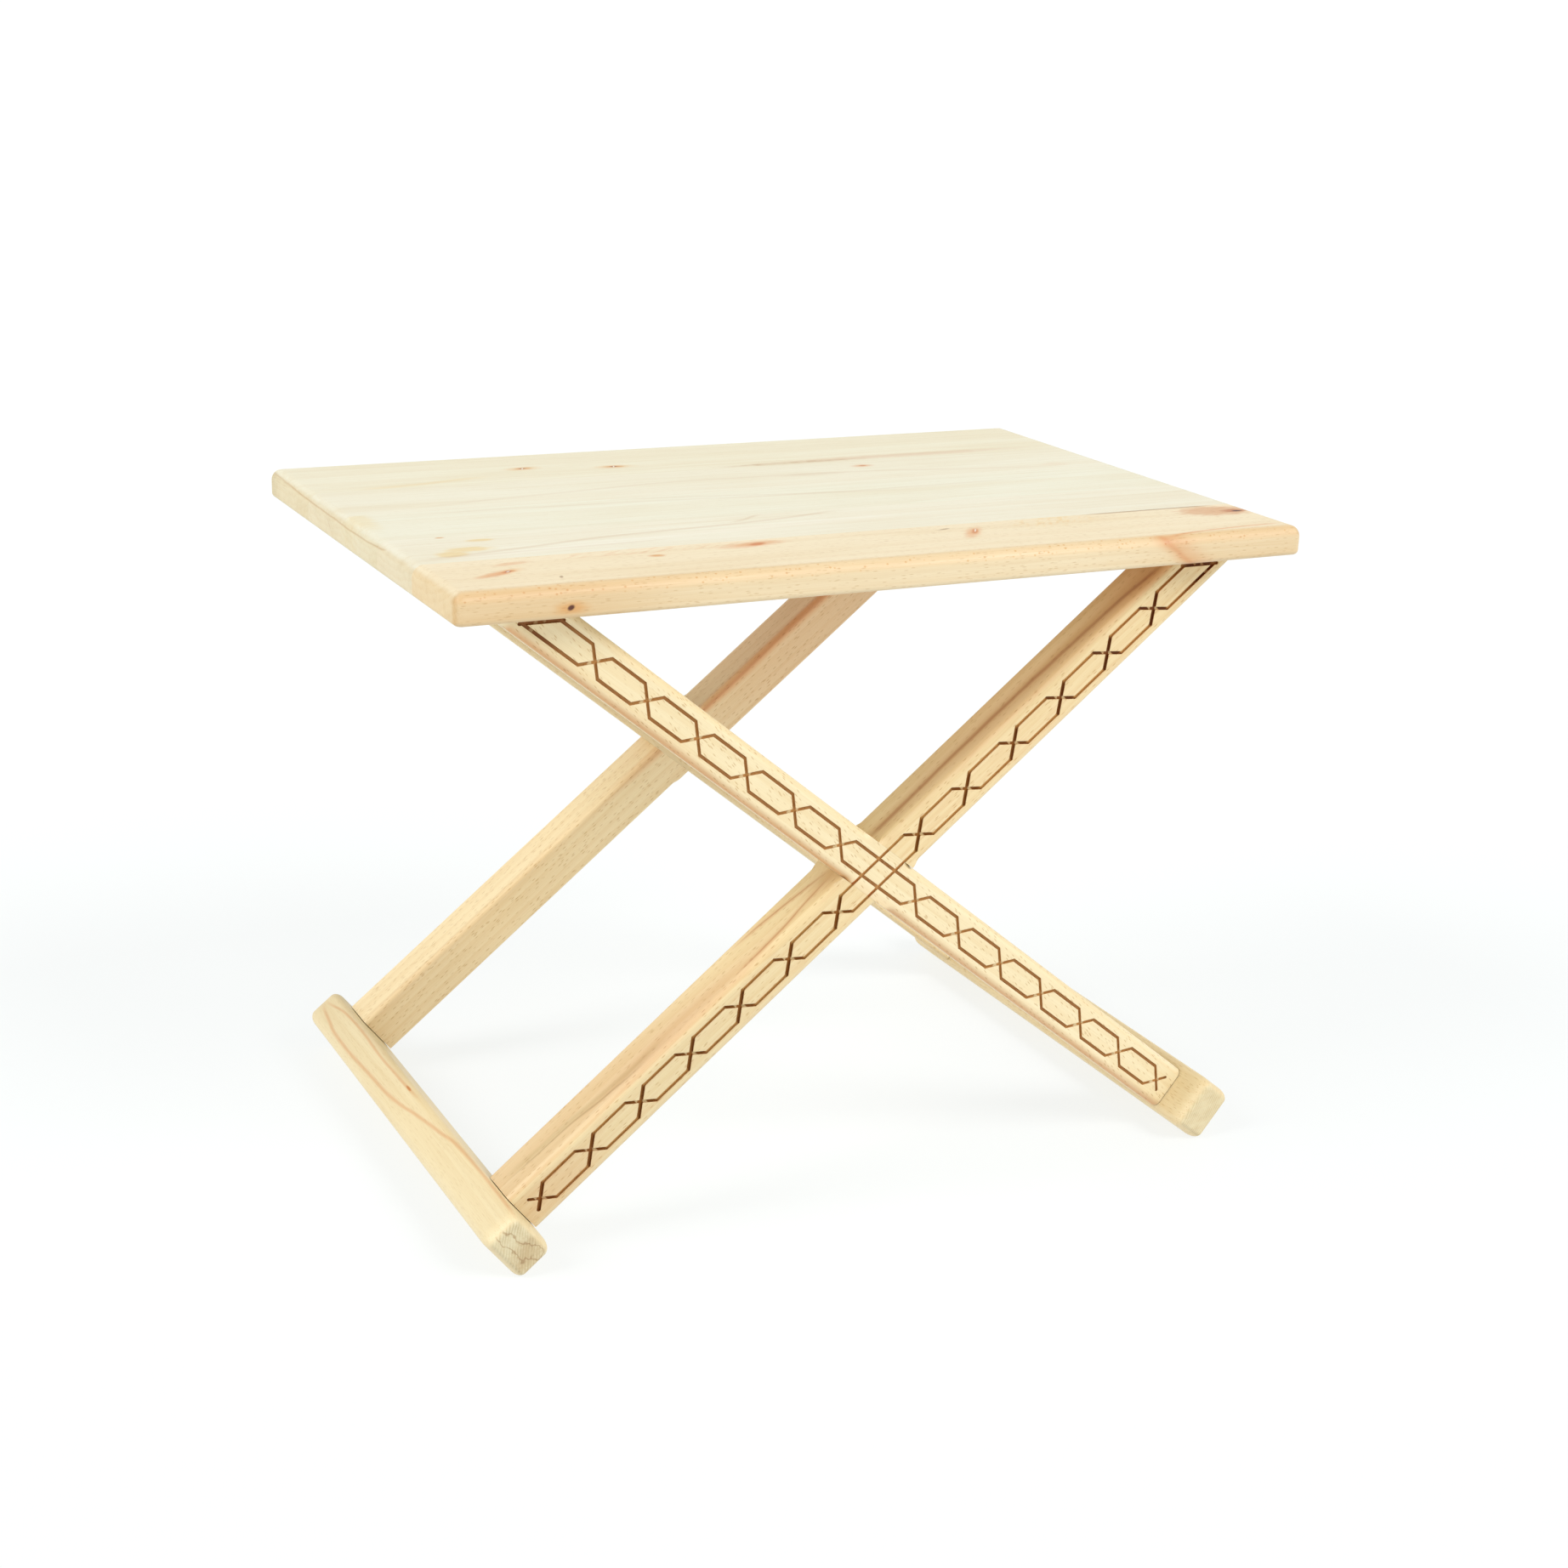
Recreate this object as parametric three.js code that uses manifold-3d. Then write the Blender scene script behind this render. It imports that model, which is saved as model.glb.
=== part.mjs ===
// Quran stand: a solid beech lap table on two carved X frames.
//
// Millimetres, +Z up, X along the length of the top, Y front (-) to rear (+).
// The origin is on the floor, under the middle of the top.
//
// Five edge-glued staves make the top. Each X frame is two square legs halved into each other
// where they cross, and two foot rails run front to rear under the legs. Fluted dowels hold
// the legs to the rails and the top to the legs. Nothing on the stand moves.

import * as THREE from "three";
import { mergeVertices } from "three/addons/utils/BufferGeometryUtils.js";
import Module from "manifold-3d";

// ---------------------------------------------------------------- driving dimensions

const overallHeight = 403;

const topLength = 540;
const topDepth = 355;
const topThickness = 18;
const topUpperRadius = 7;
const topLowerRadius = 3;
const topCornerRadius = 5;
const topLeastRadius = 1.5;
const staveWidths = [70.5, 62, 67.5, 68.5, 86.5];
const staveNames = [
  "top_stave_front",
  "top_stave_inner_front",
  "top_stave_middle",
  "top_stave_inner_rear",
  "top_stave_rear",
];

const legAngle = THREE.MathUtils.degToRad(38.8);
const legWidth = 29.2;
const legDepth = 32.8;
const outerEdgeRadius = 5;
const innerEdgeRadius = 3;
const crossingHeight = 206.7;
const frameSpacing = 306.6;

const railLength = 356;
const railWidth = 36.5;
const railThickness = 26;
const railOffset = 1.6;
const railEdgeRadius = 5.5;
const railEndInset = 5;
const railEndLength = 11;
const footFlatDepth = 0.6;

const crossCount = 13;
const crossesAboveCentre = 6;
const crossPitch = 40;
const crossCentralGap = 67.2;
const hexagonHalfHeight = 6.95;
const crossArm = 7.35;
const crossTail = 6;
const grooveWidth = 2;
const grooveDepth = 1.8;
const closingGrooveDrop = 7;

const dowelRadius = 4;
const dowelFluteDepth = 0.35;
const dowelFlutes = 12;
const dowelChamfer = 1;
const dowelSpacing = 16;
const dowelClearance = 0.25;
const dowelEndRoom = 1;
const holeSides = 20;
const footDowelLength = 36;
const topDowelLength = 25;
const topDowelInBoard = 10;
const topDowelInset = 15.5;

const glueGap = 0.2;
const arcSteps = 4;
const overcut = 1;

// ---------------------------------------------------------------- derived places

const undersideHeight = overallHeight - topThickness;
const undersideReach = (undersideHeight - crossingHeight) / Math.sin(legAngle);
const closingGrooveHeight = undersideHeight - closingGrooveDrop;
const legEndHalfLength = legWidth / 2 / Math.sin(legAngle);

// Distance down the leg from the crossing to the rail. The rail's lowest rounded edge is
// planed to a narrow flat that stands on the floor.
const lowestEdgeAcross = railOffset - railWidth / 2 + railEdgeRadius;
const lowestEdgeDrop = crossingHeight + lowestEdgeAcross * Math.cos(legAngle)
  - (railEdgeRadius - footFlatDepth);
const railReach = lowestEdgeDrop / Math.sin(legAngle) - railThickness + railEdgeRadius;
const legReach = undersideReach + legWidth;

// ---------------------------------------------------------------- solids

const wasm = await Module();
wasm.setup();

function toSolid(geometry) {
  const bare = geometry.clone();
  bare.deleteAttribute("normal");
  bare.deleteAttribute("uv");
  const merged = mergeVertices(bare, 1e-4);
  const mesh = new wasm.Mesh({
    numProp: 3,
    vertProperties: new Float32Array(merged.attributes.position.array),
    triVerts: new Uint32Array(merged.index.array),
  });
  return new wasm.Manifold(mesh);
}

function toGeometry(solid) {
  const mesh = solid.getMesh();
  const geometry = new THREE.BufferGeometry();
  geometry.setAttribute("position", new THREE.BufferAttribute(mesh.vertProperties, 3));
  geometry.setIndex(new THREE.BufferAttribute(mesh.triVerts, 1));
  geometry.computeVertexNormals();
  return geometry;
}

function subtractAll(solid, cutters) {
  let result = solid;
  for (const cutter of cutters) {
    result = result.subtract(cutter);
  }
  return result;
}

// ---------------------------------------------------------------- shapes

function boxBetween(low, high) {
  const size = high.clone().sub(low);
  const box = new THREE.BoxGeometry(size.x, size.y, size.z);
  const middle = low.clone().add(high).multiplyScalar(0.5);
  return box.translate(middle.x, middle.y, middle.z);
}

// A prism along X whose section is drawn in Y and Z.
function prismAlongX(section, from, to) {
  const prism = new THREE.ExtrudeGeometry(section, { depth: to - from, bevelEnabled: false });
  const turn = new THREE.Matrix4().makeBasis(
    new THREE.Vector3(0, 1, 0),
    new THREE.Vector3(0, 0, 1),
    new THREE.Vector3(1, 0, 0),
  );
  return prism.applyMatrix4(turn).translate(from, 0, 0);
}

// A prism along Y whose section is drawn in X and Z.
function prismAlongY(section, from, to, options = {}) {
  const settings = { depth: to - from, bevelEnabled: false, ...options };
  const prism = new THREE.ExtrudeGeometry(section, settings);
  return prism.rotateX(Math.PI / 2).translate(0, to, 0);
}

function roundedRectangle(width, height, radius) {
  const right = width / 2;
  const top = height / 2;
  const shape = new THREE.Shape();
  shape.moveTo(right - radius, -top);
  shape.absarc(right - radius, -top + radius, radius, -Math.PI / 2, 0);
  shape.absarc(right - radius, top - radius, radius, 0, Math.PI / 2);
  shape.absarc(-right + radius, top - radius, radius, Math.PI / 2, Math.PI);
  shape.absarc(-right + radius, -top + radius, radius, Math.PI, Math.PI * 1.5);
  return shape;
}

// What a round-over bit takes off an edge. The edge is at the corner given, and the wood
// lies on the side that inwardY and inwardZ point to.
function roundOverSection(cornerY, cornerZ, inwardY, inwardZ, radius) {
  const points = [new THREE.Vector2(-overcut, -overcut), new THREE.Vector2(radius, -overcut)];
  for (let step = 0; step <= arcSteps; step += 1) {
    const angle = (step / arcSteps) * (Math.PI / 2);
    points.push(new THREE.Vector2(
      radius - radius * Math.sin(angle),
      radius - radius * Math.cos(angle),
    ));
  }
  points.push(new THREE.Vector2(-overcut, radius));
  const placed = points.map((point) => new THREE.Vector2(
    cornerY + inwardY * point.x,
    cornerZ + inwardZ * point.y,
  ));
  return new THREE.Shape(placed);
}

// The outline of a groove of constant width along a path, with mitred bends.
function stripOutline(path, halfWidth) {
  const sides = [[], []];
  for (let index = 0; index < path.length; index += 1) {
    const before = path[Math.max(index - 1, 0)];
    const after = path[Math.min(index + 1, path.length - 1)];
    const arriving = path[index].clone().sub(before).normalize();
    const leaving = after.clone().sub(path[index]).normalize();
    const along = arriving.clone().add(leaving).normalize();
    const across = new THREE.Vector2(-along.y, along.x);
    const isEnd = index === 0 || index === path.length - 1;
    const mitre = isEnd ? 1 : 1 / across.dot(new THREE.Vector2(-leaving.y, leaving.x));
    const offset = across.multiplyScalar(halfWidth * mitre);
    sides[0].push(path[index].clone().add(offset));
    sides[1].unshift(path[index].clone().sub(offset));
  }
  return new THREE.Shape([...sides[0], ...sides[1]]);
}

function mesh(name, geometry, material) {
  const part = new THREE.Mesh(geometry, material);
  part.name = name;
  return part;
}

// ---------------------------------------------------------------- materials

function lacqueredBeech(color) {
  return new THREE.MeshStandardMaterial({ color, roughness: 0.35, metalness: 0 });
}

const staveColors = [0xead0a0, 0xf0dfba, 0xeddcb5, 0xefdcb2, 0xebd8ae];
const legColors = { rising: 0xe6c795, falling: 0xf0d9a6 };
const railColor = 0xe8cc9a;
const dowelColor = 0xdec596;

// ---------------------------------------------------------------- dowels

function flutedOutline(radius) {
  const points = [];
  for (let index = 0; index < dowelFlutes * 2; index += 1) {
    const angle = (index / (dowelFlutes * 2)) * Math.PI * 2;
    const reach = index % 2 === 0 ? radius : radius - dowelFluteDepth;
    points.push(new THREE.Vector2(reach * Math.cos(angle), reach * Math.sin(angle)));
  }
  return new THREE.Shape(points);
}

// A fluted dowel standing on Z, with its middle at the origin. Its ends are chamfered.
function dowelGeometry(length) {
  const shank = length - dowelChamfer * 2;
  const dowel = new THREE.ExtrudeGeometry(flutedOutline(dowelRadius), {
    depth: shank,
    bevelSize: dowelChamfer,
    bevelOffset: -dowelChamfer,
    bevelThickness: dowelChamfer,
    bevelSegments: 1,
  });
  return dowel.translate(0, 0, -shank / 2);
}

// A drilled hole along Z from one height to another, with its axis on the origin.
function holeGeometry(from, to) {
  const hole = new THREE.CylinderGeometry(
    dowelRadius + dowelClearance,
    dowelRadius + dowelClearance,
    to - from,
    holeSides,
  );
  return hole.rotateX(Math.PI / 2).translate(0, 0, (from + to) / 2);
}

const dowelDepths = [-dowelSpacing / 2, dowelSpacing / 2];

// ---------------------------------------------------------------- leg frames of reference

// Both frames lie in the XZ plane with their outer face at y = 0 and their inner face at
// y = legDepth. "lean" is +1 for the leg that rises to the right and -1 for the one that
// falls to the right. Along a leg, x is the distance up from the crossing and z goes across.
function legTurn(lean) {
  return lean > 0 ? -legAngle : legAngle - Math.PI;
}

function placeOnLeg(geometry, lean) {
  return geometry.rotateY(legTurn(lean)).translate(0, 0, crossingHeight);
}

function crossOffset(index) {
  if (index < crossesAboveCentre) {
    return crossCentralGap / 2 + (crossesAboveCentre - 1 - index) * crossPitch;
  }
  return -(crossCentralGap / 2 + (index - crossesAboveCentre) * crossPitch);
}

// Where a line at a given distance across the leg meets a given height.
function reachAtHeight(height, across, lean) {
  return (height - crossingHeight - lean * across * Math.cos(legAngle)) / Math.sin(legAngle);
}

// ---------------------------------------------------------------- carved pattern

// One of the two zigzag grooves, which swap sides at each cross to leave a row of hexagons.
function zigzagPath(startSide, lean) {
  let side = startSide;
  const path = [];
  const lowest = crossOffset(crossCount - 1);
  path.push(new THREE.Vector2(lowest - crossTail, (-side * hexagonHalfHeight * crossTail) / crossArm));
  for (let index = crossCount - 1; index >= 0; index -= 1) {
    const centre = crossOffset(index);
    if (index < crossCount - 1) {
      path.push(new THREE.Vector2(centre - crossArm, -side * hexagonHalfHeight));
    }
    path.push(new THREE.Vector2(centre + crossArm, side * hexagonHalfHeight));
    side = -side;
  }
  const lastAcross = -side * hexagonHalfHeight;
  path.push(new THREE.Vector2(reachAtHeight(closingGrooveHeight, lastAcross, lean), lastAcross));
  return path;
}

function closingPath(lean) {
  const sides = [-hexagonHalfHeight - grooveWidth / 2, hexagonHalfHeight + grooveWidth / 2];
  return sides.map((across) => new THREE.Vector2(
    reachAtHeight(closingGrooveHeight, across, lean),
    across,
  ));
}

function grooveSolids(lean) {
  const paths = [zigzagPath(1, lean), zigzagPath(-1, lean), closingPath(lean)];
  return paths.map((path) => {
    const groove = prismAlongY(stripOutline(path, grooveWidth / 2), -overcut, grooveDepth);
    return toSolid(placeOnLeg(groove, lean));
  });
}

// ---------------------------------------------------------------- legs

// The strip that a leg covers, from one depth to another and a little wider than the leg.
function legStrip(lean, fromDepth, toDepth, clearance) {
  const half = legWidth / 2 + clearance;
  const low = new THREE.Vector3(-legReach * 2, fromDepth, -half);
  const high = new THREE.Vector3(legReach * 2, toDepth, half);
  return toSolid(placeOnLeg(boxBetween(low, high), lean));
}

function legBlank(lean) {
  const low = new THREE.Vector3(-railReach + glueGap, 0, -legWidth / 2);
  const high = new THREE.Vector3(legReach, legDepth, legWidth / 2);
  return toSolid(placeOnLeg(boxBetween(low, high), lean));
}

// The four long edges are rounded over, but the bit stops where the other leg crosses.
function roundOvers(lean) {
  const crossing = legStrip(-lean, -overcut * 3, legDepth + overcut * 3, 0);
  const cutters = [];
  for (const [depth, inward, radius] of [
    [0, 1, outerEdgeRadius],
    [legDepth, -1, innerEdgeRadius],
  ]) {
    for (const side of [-1, 1]) {
      const section = roundOverSection(depth, (side * legWidth) / 2, inward, -side, radius);
      const bar = prismAlongX(section, -legReach, legReach + legWidth);
      cutters.push(toSolid(placeOnLeg(bar, lean)).subtract(crossing));
    }
  }
  return cutters;
}

// The falling leg keeps its outer half at the crossing and the rising leg its inner half.
function lapNotch(lean) {
  const middle = legDepth / 2;
  if (lean > 0) {
    return legStrip(-lean, -overcut, middle + glueGap / 2, glueGap);
  }
  return legStrip(-lean, middle - glueGap / 2, legDepth + overcut, glueGap);
}

function aboveUnderside() {
  const low = new THREE.Vector3(-topLength, -legDepth, undersideHeight - glueGap);
  const high = new THREE.Vector3(topLength, legDepth * 2, overallHeight + legReach);
  return toSolid(boxBetween(low, high));
}

function footHole(depth, lean) {
  const hole = holeGeometry(-railReach - overcut, -railReach + footDowelLength / 2 + dowelEndRoom);
  const alongLeg = hole.rotateY(Math.PI / 2).translate(0, legDepth / 2 + depth, 0);
  return toSolid(placeOnLeg(alongLeg, lean));
}

// The top dowels stand upright in the thick side of the leg's level end.
function topDowelX(lean) {
  const endMiddle = (undersideHeight - crossingHeight) / Math.tan(legAngle);
  return lean * (endMiddle - legEndHalfLength + topDowelInset);
}

function topHoleInLeg(depth, lean) {
  const bottom = undersideHeight - (topDowelLength - topDowelInBoard) - dowelEndRoom;
  const hole = holeGeometry(bottom, undersideHeight + overcut);
  return toSolid(hole.translate(topDowelX(lean), legDepth / 2 + depth, 0));
}

// Both patterns are carved after the legs are joined, so each also marks the other leg.
function legGeometry(lean) {
  const cutters = [
    ...roundOvers(lean),
    lapNotch(lean),
    aboveUnderside(),
    ...grooveSolids(lean),
    ...grooveSolids(-lean),
    ...dowelDepths.map((depth) => footHole(depth, lean)),
    ...dowelDepths.map((depth) => topHoleInLeg(depth, lean)),
  ];
  return toGeometry(subtractAll(legBlank(lean), cutters));
}

// ---------------------------------------------------------------- X frames

function topDowel(depth, lean) {
  const middle = undersideHeight + topDowelInBoard - topDowelLength / 2;
  const dowel = dowelGeometry(topDowelLength);
  return dowel.translate(topDowelX(lean), legDepth / 2 + depth, middle);
}

function footDowel(depth, lean) {
  const dowel = dowelGeometry(footDowelLength).rotateY(Math.PI / 2);
  return placeOnLeg(dowel.translate(-railReach, legDepth / 2 + depth, 0), lean);
}

// The rear frame is the front frame turned half a turn, so its legs swap lean in place.
function xFrame(place, turned) {
  const group = new THREE.Group();
  const names = turned ? { 1: "falling", "-1": "rising" } : { 1: "rising", "-1": "falling" };
  for (const lean of [1, -1]) {
    const name = names[lean];
    const color = legColors[name];
    group.add(mesh(`${place}_leg_${name}`, legGeometry(lean), lacqueredBeech(color)));
    dowelDepths.forEach((depth, index) => {
      const end = index === 0 ? "outer" : "inner";
      const topName = `${place}_${name}_top_dowel_${end}`;
      const footName = `${place}_${name}_foot_dowel_${end}`;
      group.add(mesh(topName, topDowel(depth, lean), lacqueredBeech(dowelColor)));
      group.add(mesh(footName, footDowel(depth, lean), lacqueredBeech(dowelColor)));
    });
  }
  group.position.y = turned ? frameSpacing / 2 : -frameSpacing / 2;
  group.rotation.z = turned ? Math.PI : 0;
  return group;
}

// ---------------------------------------------------------------- foot rails

function belowFloor() {
  const low = new THREE.Vector3(-topLength, -railLength, -railWidth);
  const high = new THREE.Vector3(topLength, railLength, 0);
  return toSolid(boxBetween(low, high));
}

function railHole(y, lean) {
  const hole = holeGeometry(-railReach - footDowelLength / 2 - dowelEndRoom, -railReach + overcut);
  return toSolid(placeOnLeg(hole.rotateY(Math.PI / 2).translate(0, y, 0), lean));
}

// A foot rail lies square across the ends of its two legs, so it is tilted as they are. Its
// own ends are softly crowned.
function railGeometry(lean) {
  const shape = roundedRectangle(
    railThickness - railEndInset * 2,
    railWidth - railEndInset * 2,
    railEdgeRadius - railEndInset,
  );
  const half = railLength / 2 - railEndLength;
  const rail = prismAlongY(shape, -half, half, {
    bevelEnabled: true,
    bevelSize: railEndInset,
    bevelThickness: railEndLength,
    bevelSegments: arcSteps,
    curveSegments: 1,
  });
  rail.translate(-railReach - railThickness / 2, 0, lean * railOffset);
  const solid = toSolid(placeOnLeg(rail, lean));
  const holes = [];
  for (const side of [-1, 1]) {
    const legMiddle = side * (frameSpacing / 2 - legDepth / 2);
    for (const depth of dowelDepths) {
      holes.push(railHole(legMiddle + depth, lean));
    }
  }
  return toGeometry(subtractAll(solid, [belowFloor(), ...holes]));
}

// ---------------------------------------------------------------- top

// Rings of a rounded rectangle, stacked from the lower face to the upper one.
function topBlank() {
  const rings = [];
  for (let step = 0; step <= arcSteps; step += 1) {
    const angle = (step / arcSteps) * (Math.PI / 2);
    const inset = topLowerRadius * (1 - Math.sin(angle));
    rings.push({ inset, z: undersideHeight + topLowerRadius * (1 - Math.cos(angle)) });
  }
  for (let step = 0; step <= arcSteps; step += 1) {
    const angle = (step / arcSteps) * (Math.PI / 2);
    const inset = topUpperRadius * (1 - Math.cos(angle));
    rings.push({ inset, z: overallHeight - topUpperRadius * (1 - Math.sin(angle)) });
  }
  const positions = [];
  for (const { inset, z } of rings) {
    for (const point of ringPoints(inset)) {
      positions.push(point.x, point.y, z);
    }
  }
  const perRing = positions.length / 3 / rings.length;
  const triangles = [];
  for (let ring = 0; ring < rings.length - 1; ring += 1) {
    for (let index = 0; index < perRing; index += 1) {
      const next = (index + 1) % perRing;
      const low = ring * perRing;
      const high = low + perRing;
      triangles.push(low + index, low + next, high + next);
      triangles.push(low + index, high + next, high + index);
    }
  }
  const last = (rings.length - 1) * perRing;
  for (let index = 1; index < perRing - 1; index += 1) {
    triangles.push(0, index + 1, index);
    triangles.push(last, last + index, last + index + 1);
  }
  const geometry = new THREE.BufferGeometry();
  geometry.setAttribute("position", new THREE.Float32BufferAttribute(positions, 3));
  geometry.setIndex(triangles);
  return geometry;
}

// The corners tighten as the ring shrinks, down to a smallest radius.
function ringPoints(inset) {
  const radius = Math.max(topCornerRadius - inset, topLeastRadius);
  const right = topLength / 2 - inset - radius;
  const rear = topDepth / 2 - inset - radius;
  const points = [];
  const centres = [[right, rear], [-right, rear], [-right, -rear], [right, -rear]];
  for (const [corner, [x, y]] of centres.entries()) {
    for (let step = 0; step <= arcSteps; step += 1) {
      const angle = (corner + step / arcSteps) * (Math.PI / 2);
      points.push(new THREE.Vector2(x + radius * Math.cos(angle), y + radius * Math.sin(angle)));
    }
  }
  return points;
}

function topHoles() {
  const top = undersideHeight + topDowelInBoard + dowelEndRoom;
  const holes = [];
  for (const side of [-1, 1]) {
    for (const lean of [-1, 1]) {
      for (const depth of dowelDepths) {
        const y = side * (frameSpacing / 2 - legDepth / 2) + depth;
        const hole = holeGeometry(undersideHeight - overcut, top);
        holes.push(toSolid(hole.translate(topDowelX(lean), y, 0)));
      }
    }
  }
  return holes;
}

function top() {
  const group = new THREE.Group();
  const board = subtractAll(toSolid(topBlank()), topHoles());
  let seam = -topDepth / 2;
  staveNames.forEach((name, index) => {
    const isFirst = index === 0;
    const isLast = index === staveNames.length - 1;
    const front = seam + (isFirst ? -overcut : glueGap / 2);
    seam += staveWidths[index];
    const rear = seam + (isLast ? overcut : -glueGap / 2);
    const low = new THREE.Vector3(-topLength, front, 0);
    const high = new THREE.Vector3(topLength, rear, overallHeight * 2);
    const stave = board.intersect(toSolid(boxBetween(low, high)));
    group.add(mesh(name, toGeometry(stave), lacqueredBeech(staveColors[index])));
  });
  return group;
}

// ---------------------------------------------------------------- assembly

const stand = new THREE.Group();
stand.add(top());
stand.add(xFrame("front", false));
stand.add(xFrame("rear", true));
stand.add(mesh("left_foot_rail", railGeometry(1), lacqueredBeech(railColor)));
stand.add(mesh("right_foot_rail", railGeometry(-1), lacqueredBeech(railColor)));

export default stand;
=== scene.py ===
"""A quran stand: a solid beech lap table on two carved X frames, in a plain white studio.

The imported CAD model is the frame. Finer meshes stand for the staves of the top, the legs and
the foot rails. The hidden dowels stay as they are and only get a material.

Shapes are worked out in millimetres and become metres when they are placed. Along a leg, x is
the distance up from the crossing, y the depth behind the carved face and z the distance across.
"""

import math
from contextlib import contextmanager

import bmesh
import bpy
import numpy as np
from mathutils import Matrix, Vector


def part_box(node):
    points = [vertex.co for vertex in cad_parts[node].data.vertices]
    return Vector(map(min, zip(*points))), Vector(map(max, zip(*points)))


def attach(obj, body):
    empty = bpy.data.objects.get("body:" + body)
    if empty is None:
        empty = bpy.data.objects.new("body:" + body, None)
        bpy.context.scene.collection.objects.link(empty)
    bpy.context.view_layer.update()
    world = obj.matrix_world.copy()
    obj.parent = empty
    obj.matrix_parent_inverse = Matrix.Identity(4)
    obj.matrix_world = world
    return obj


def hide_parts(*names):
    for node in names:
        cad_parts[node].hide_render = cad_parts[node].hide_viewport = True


MM = 0.001

# ---------------------------------------------------------------- what the frame says

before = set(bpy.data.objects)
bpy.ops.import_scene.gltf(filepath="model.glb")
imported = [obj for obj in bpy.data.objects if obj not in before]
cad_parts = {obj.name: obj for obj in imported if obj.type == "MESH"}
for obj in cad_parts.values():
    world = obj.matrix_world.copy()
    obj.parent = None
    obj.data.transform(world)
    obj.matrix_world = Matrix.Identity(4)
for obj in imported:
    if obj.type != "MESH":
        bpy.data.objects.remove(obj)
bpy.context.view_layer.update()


def box_mm(node):
    low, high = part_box(node)
    return np.array(low) / MM, np.array(high) / MM


STAVES = [
    "top_stave_front",
    "top_stave_inner_front",
    "top_stave_middle",
    "top_stave_inner_rear",
    "top_stave_rear",
]
stave_boxes = [box_mm(name) for name in STAVES]
top_low = np.min([low for low, high in stave_boxes], axis=0)
top_high = np.max([high for low, high in stave_boxes], axis=0)
seams = [
    (before[1][1] + after[0][1]) / 2
    for before, after in zip(stave_boxes[:-1], stave_boxes[1:])
]

LEG_ANGLE = math.radians(38.8)
LEG_WIDTH = 29.2
SLOPE_SIN = math.sin(LEG_ANGLE)
SLOPE_COS = math.cos(LEG_ANGLE)

leg_low, leg_high = box_mm("front_leg_rising")
LEG_DEPTH = leg_high[1] - leg_low[1]
OUTER_FACE = -leg_low[1]
CROSSING_HEIGHT = leg_high[2] - (
    leg_high[0] - LEG_WIDTH / 2 / SLOPE_SIN
) * math.tan(LEG_ANGLE)
RAIL_REACH = (
    CROSSING_HEIGHT - leg_low[2] - LEG_WIDTH / 2 * SLOPE_COS
) / SLOPE_SIN
UNDERSIDE_HEIGHT = top_low[2]

# ---------------------------------------------------------------- sizes of the finer shapes

TOP_UPPER_RADIUS = 7
TOP_LOWER_RADIUS = 3
TOP_CORNER_RADIUS = 5
TOP_LEAST_RADIUS = 1.5

OUTER_EDGE_RADIUS = 5
INNER_EDGE_RADIUS = 3
BEARING_RADIUS = 6.35
LEG_OVERRUN = 30

RAIL_WIDTH = 36.5
RAIL_THICKNESS = 26
RAIL_OFFSET = 1.6
RAIL_EDGE_RADIUS = 5.5
RAIL_END_INSET = 5
RAIL_END_LENGTH = 11

CROSS_COUNT = 13
CROSSES_ABOVE_CENTRE = 6
CROSS_PITCH = 40
CROSS_CENTRAL_GAP = 67.2
HEXAGON_HALF_HEIGHT = 6.95
CROSS_ARM = 7.35
CROSS_TAIL = 5.3
CLOSING_GROOVE_DROP = 7
# Half the width of a groove at each depth, from above the wood down to its flat floor.
GROOVE_PROFILE = [(-0.5, 1.1), (0.0, 1.08), (0.1, 0.98), (1.65, 0.94), (1.8, 0.8)]
# How wide the blade still is, step by step, around its round end.
GROOVE_END_SHARES = [1, 0.92, 0.7, 0.38, 0.05]
# On one leg of each frame the short upright cuts are wider by this share, and taper off.
SHORT_CUT_WIDTH = 1.3
SHORT_CUT_TAPER = 1.6

ARC_STEPS = 10
STATIONS_PER_STOP = 12
JOINT_GAP = 0.05
# The open seam's start and end along the top, half its gap and its depth.
OPEN_SEAM = (166, 246, 0.45, 4)
OPEN_SEAM_STEPS = 16
FOOT_GAP = 0.45
SMOOTH_ANGLE = math.radians(32)
# How much the large flat faces outweigh the small ones where the shading is evened out.
FLAT_FACE_WEIGHT = 80

# ---------------------------------------------------------------- mesh helpers


def new_object(name, data):
    """Puts a mesh, a lamp or a camera into the scene."""
    thing = bpy.data.objects.new(name, data)
    bpy.context.scene.collection.objects.link(thing)
    return thing


def mesh_from(name, points, faces):
    mesh = bpy.data.meshes.new(name)
    mesh.from_pydata([tuple(point) for point in points], [], faces)
    mesh.update()
    return mesh


@contextmanager
def editing(mesh):
    """Opens a mesh for changes and writes them back at the end."""
    shape = bmesh.new()
    shape.from_mesh(mesh)
    yield shape
    shape.to_mesh(mesh)
    shape.free()


def loft(name, rings):
    """A closed skin over rings that all have the same number of points."""
    count = len(rings[0])
    points = [point for ring in rings for point in ring]
    faces = [tuple(range(count))[::-1]]
    for ring in range(len(rings) - 1):
        for index in range(count):
            following = (index + 1) % count
            low, high = ring * count, (ring + 1) * count
            faces.append((low + index, low + following, high + following, high + index))
    last = (len(rings) - 1) * count
    faces.append(tuple(range(last, last + count)))
    return tidy(mesh_from(name, points, faces))


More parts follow.
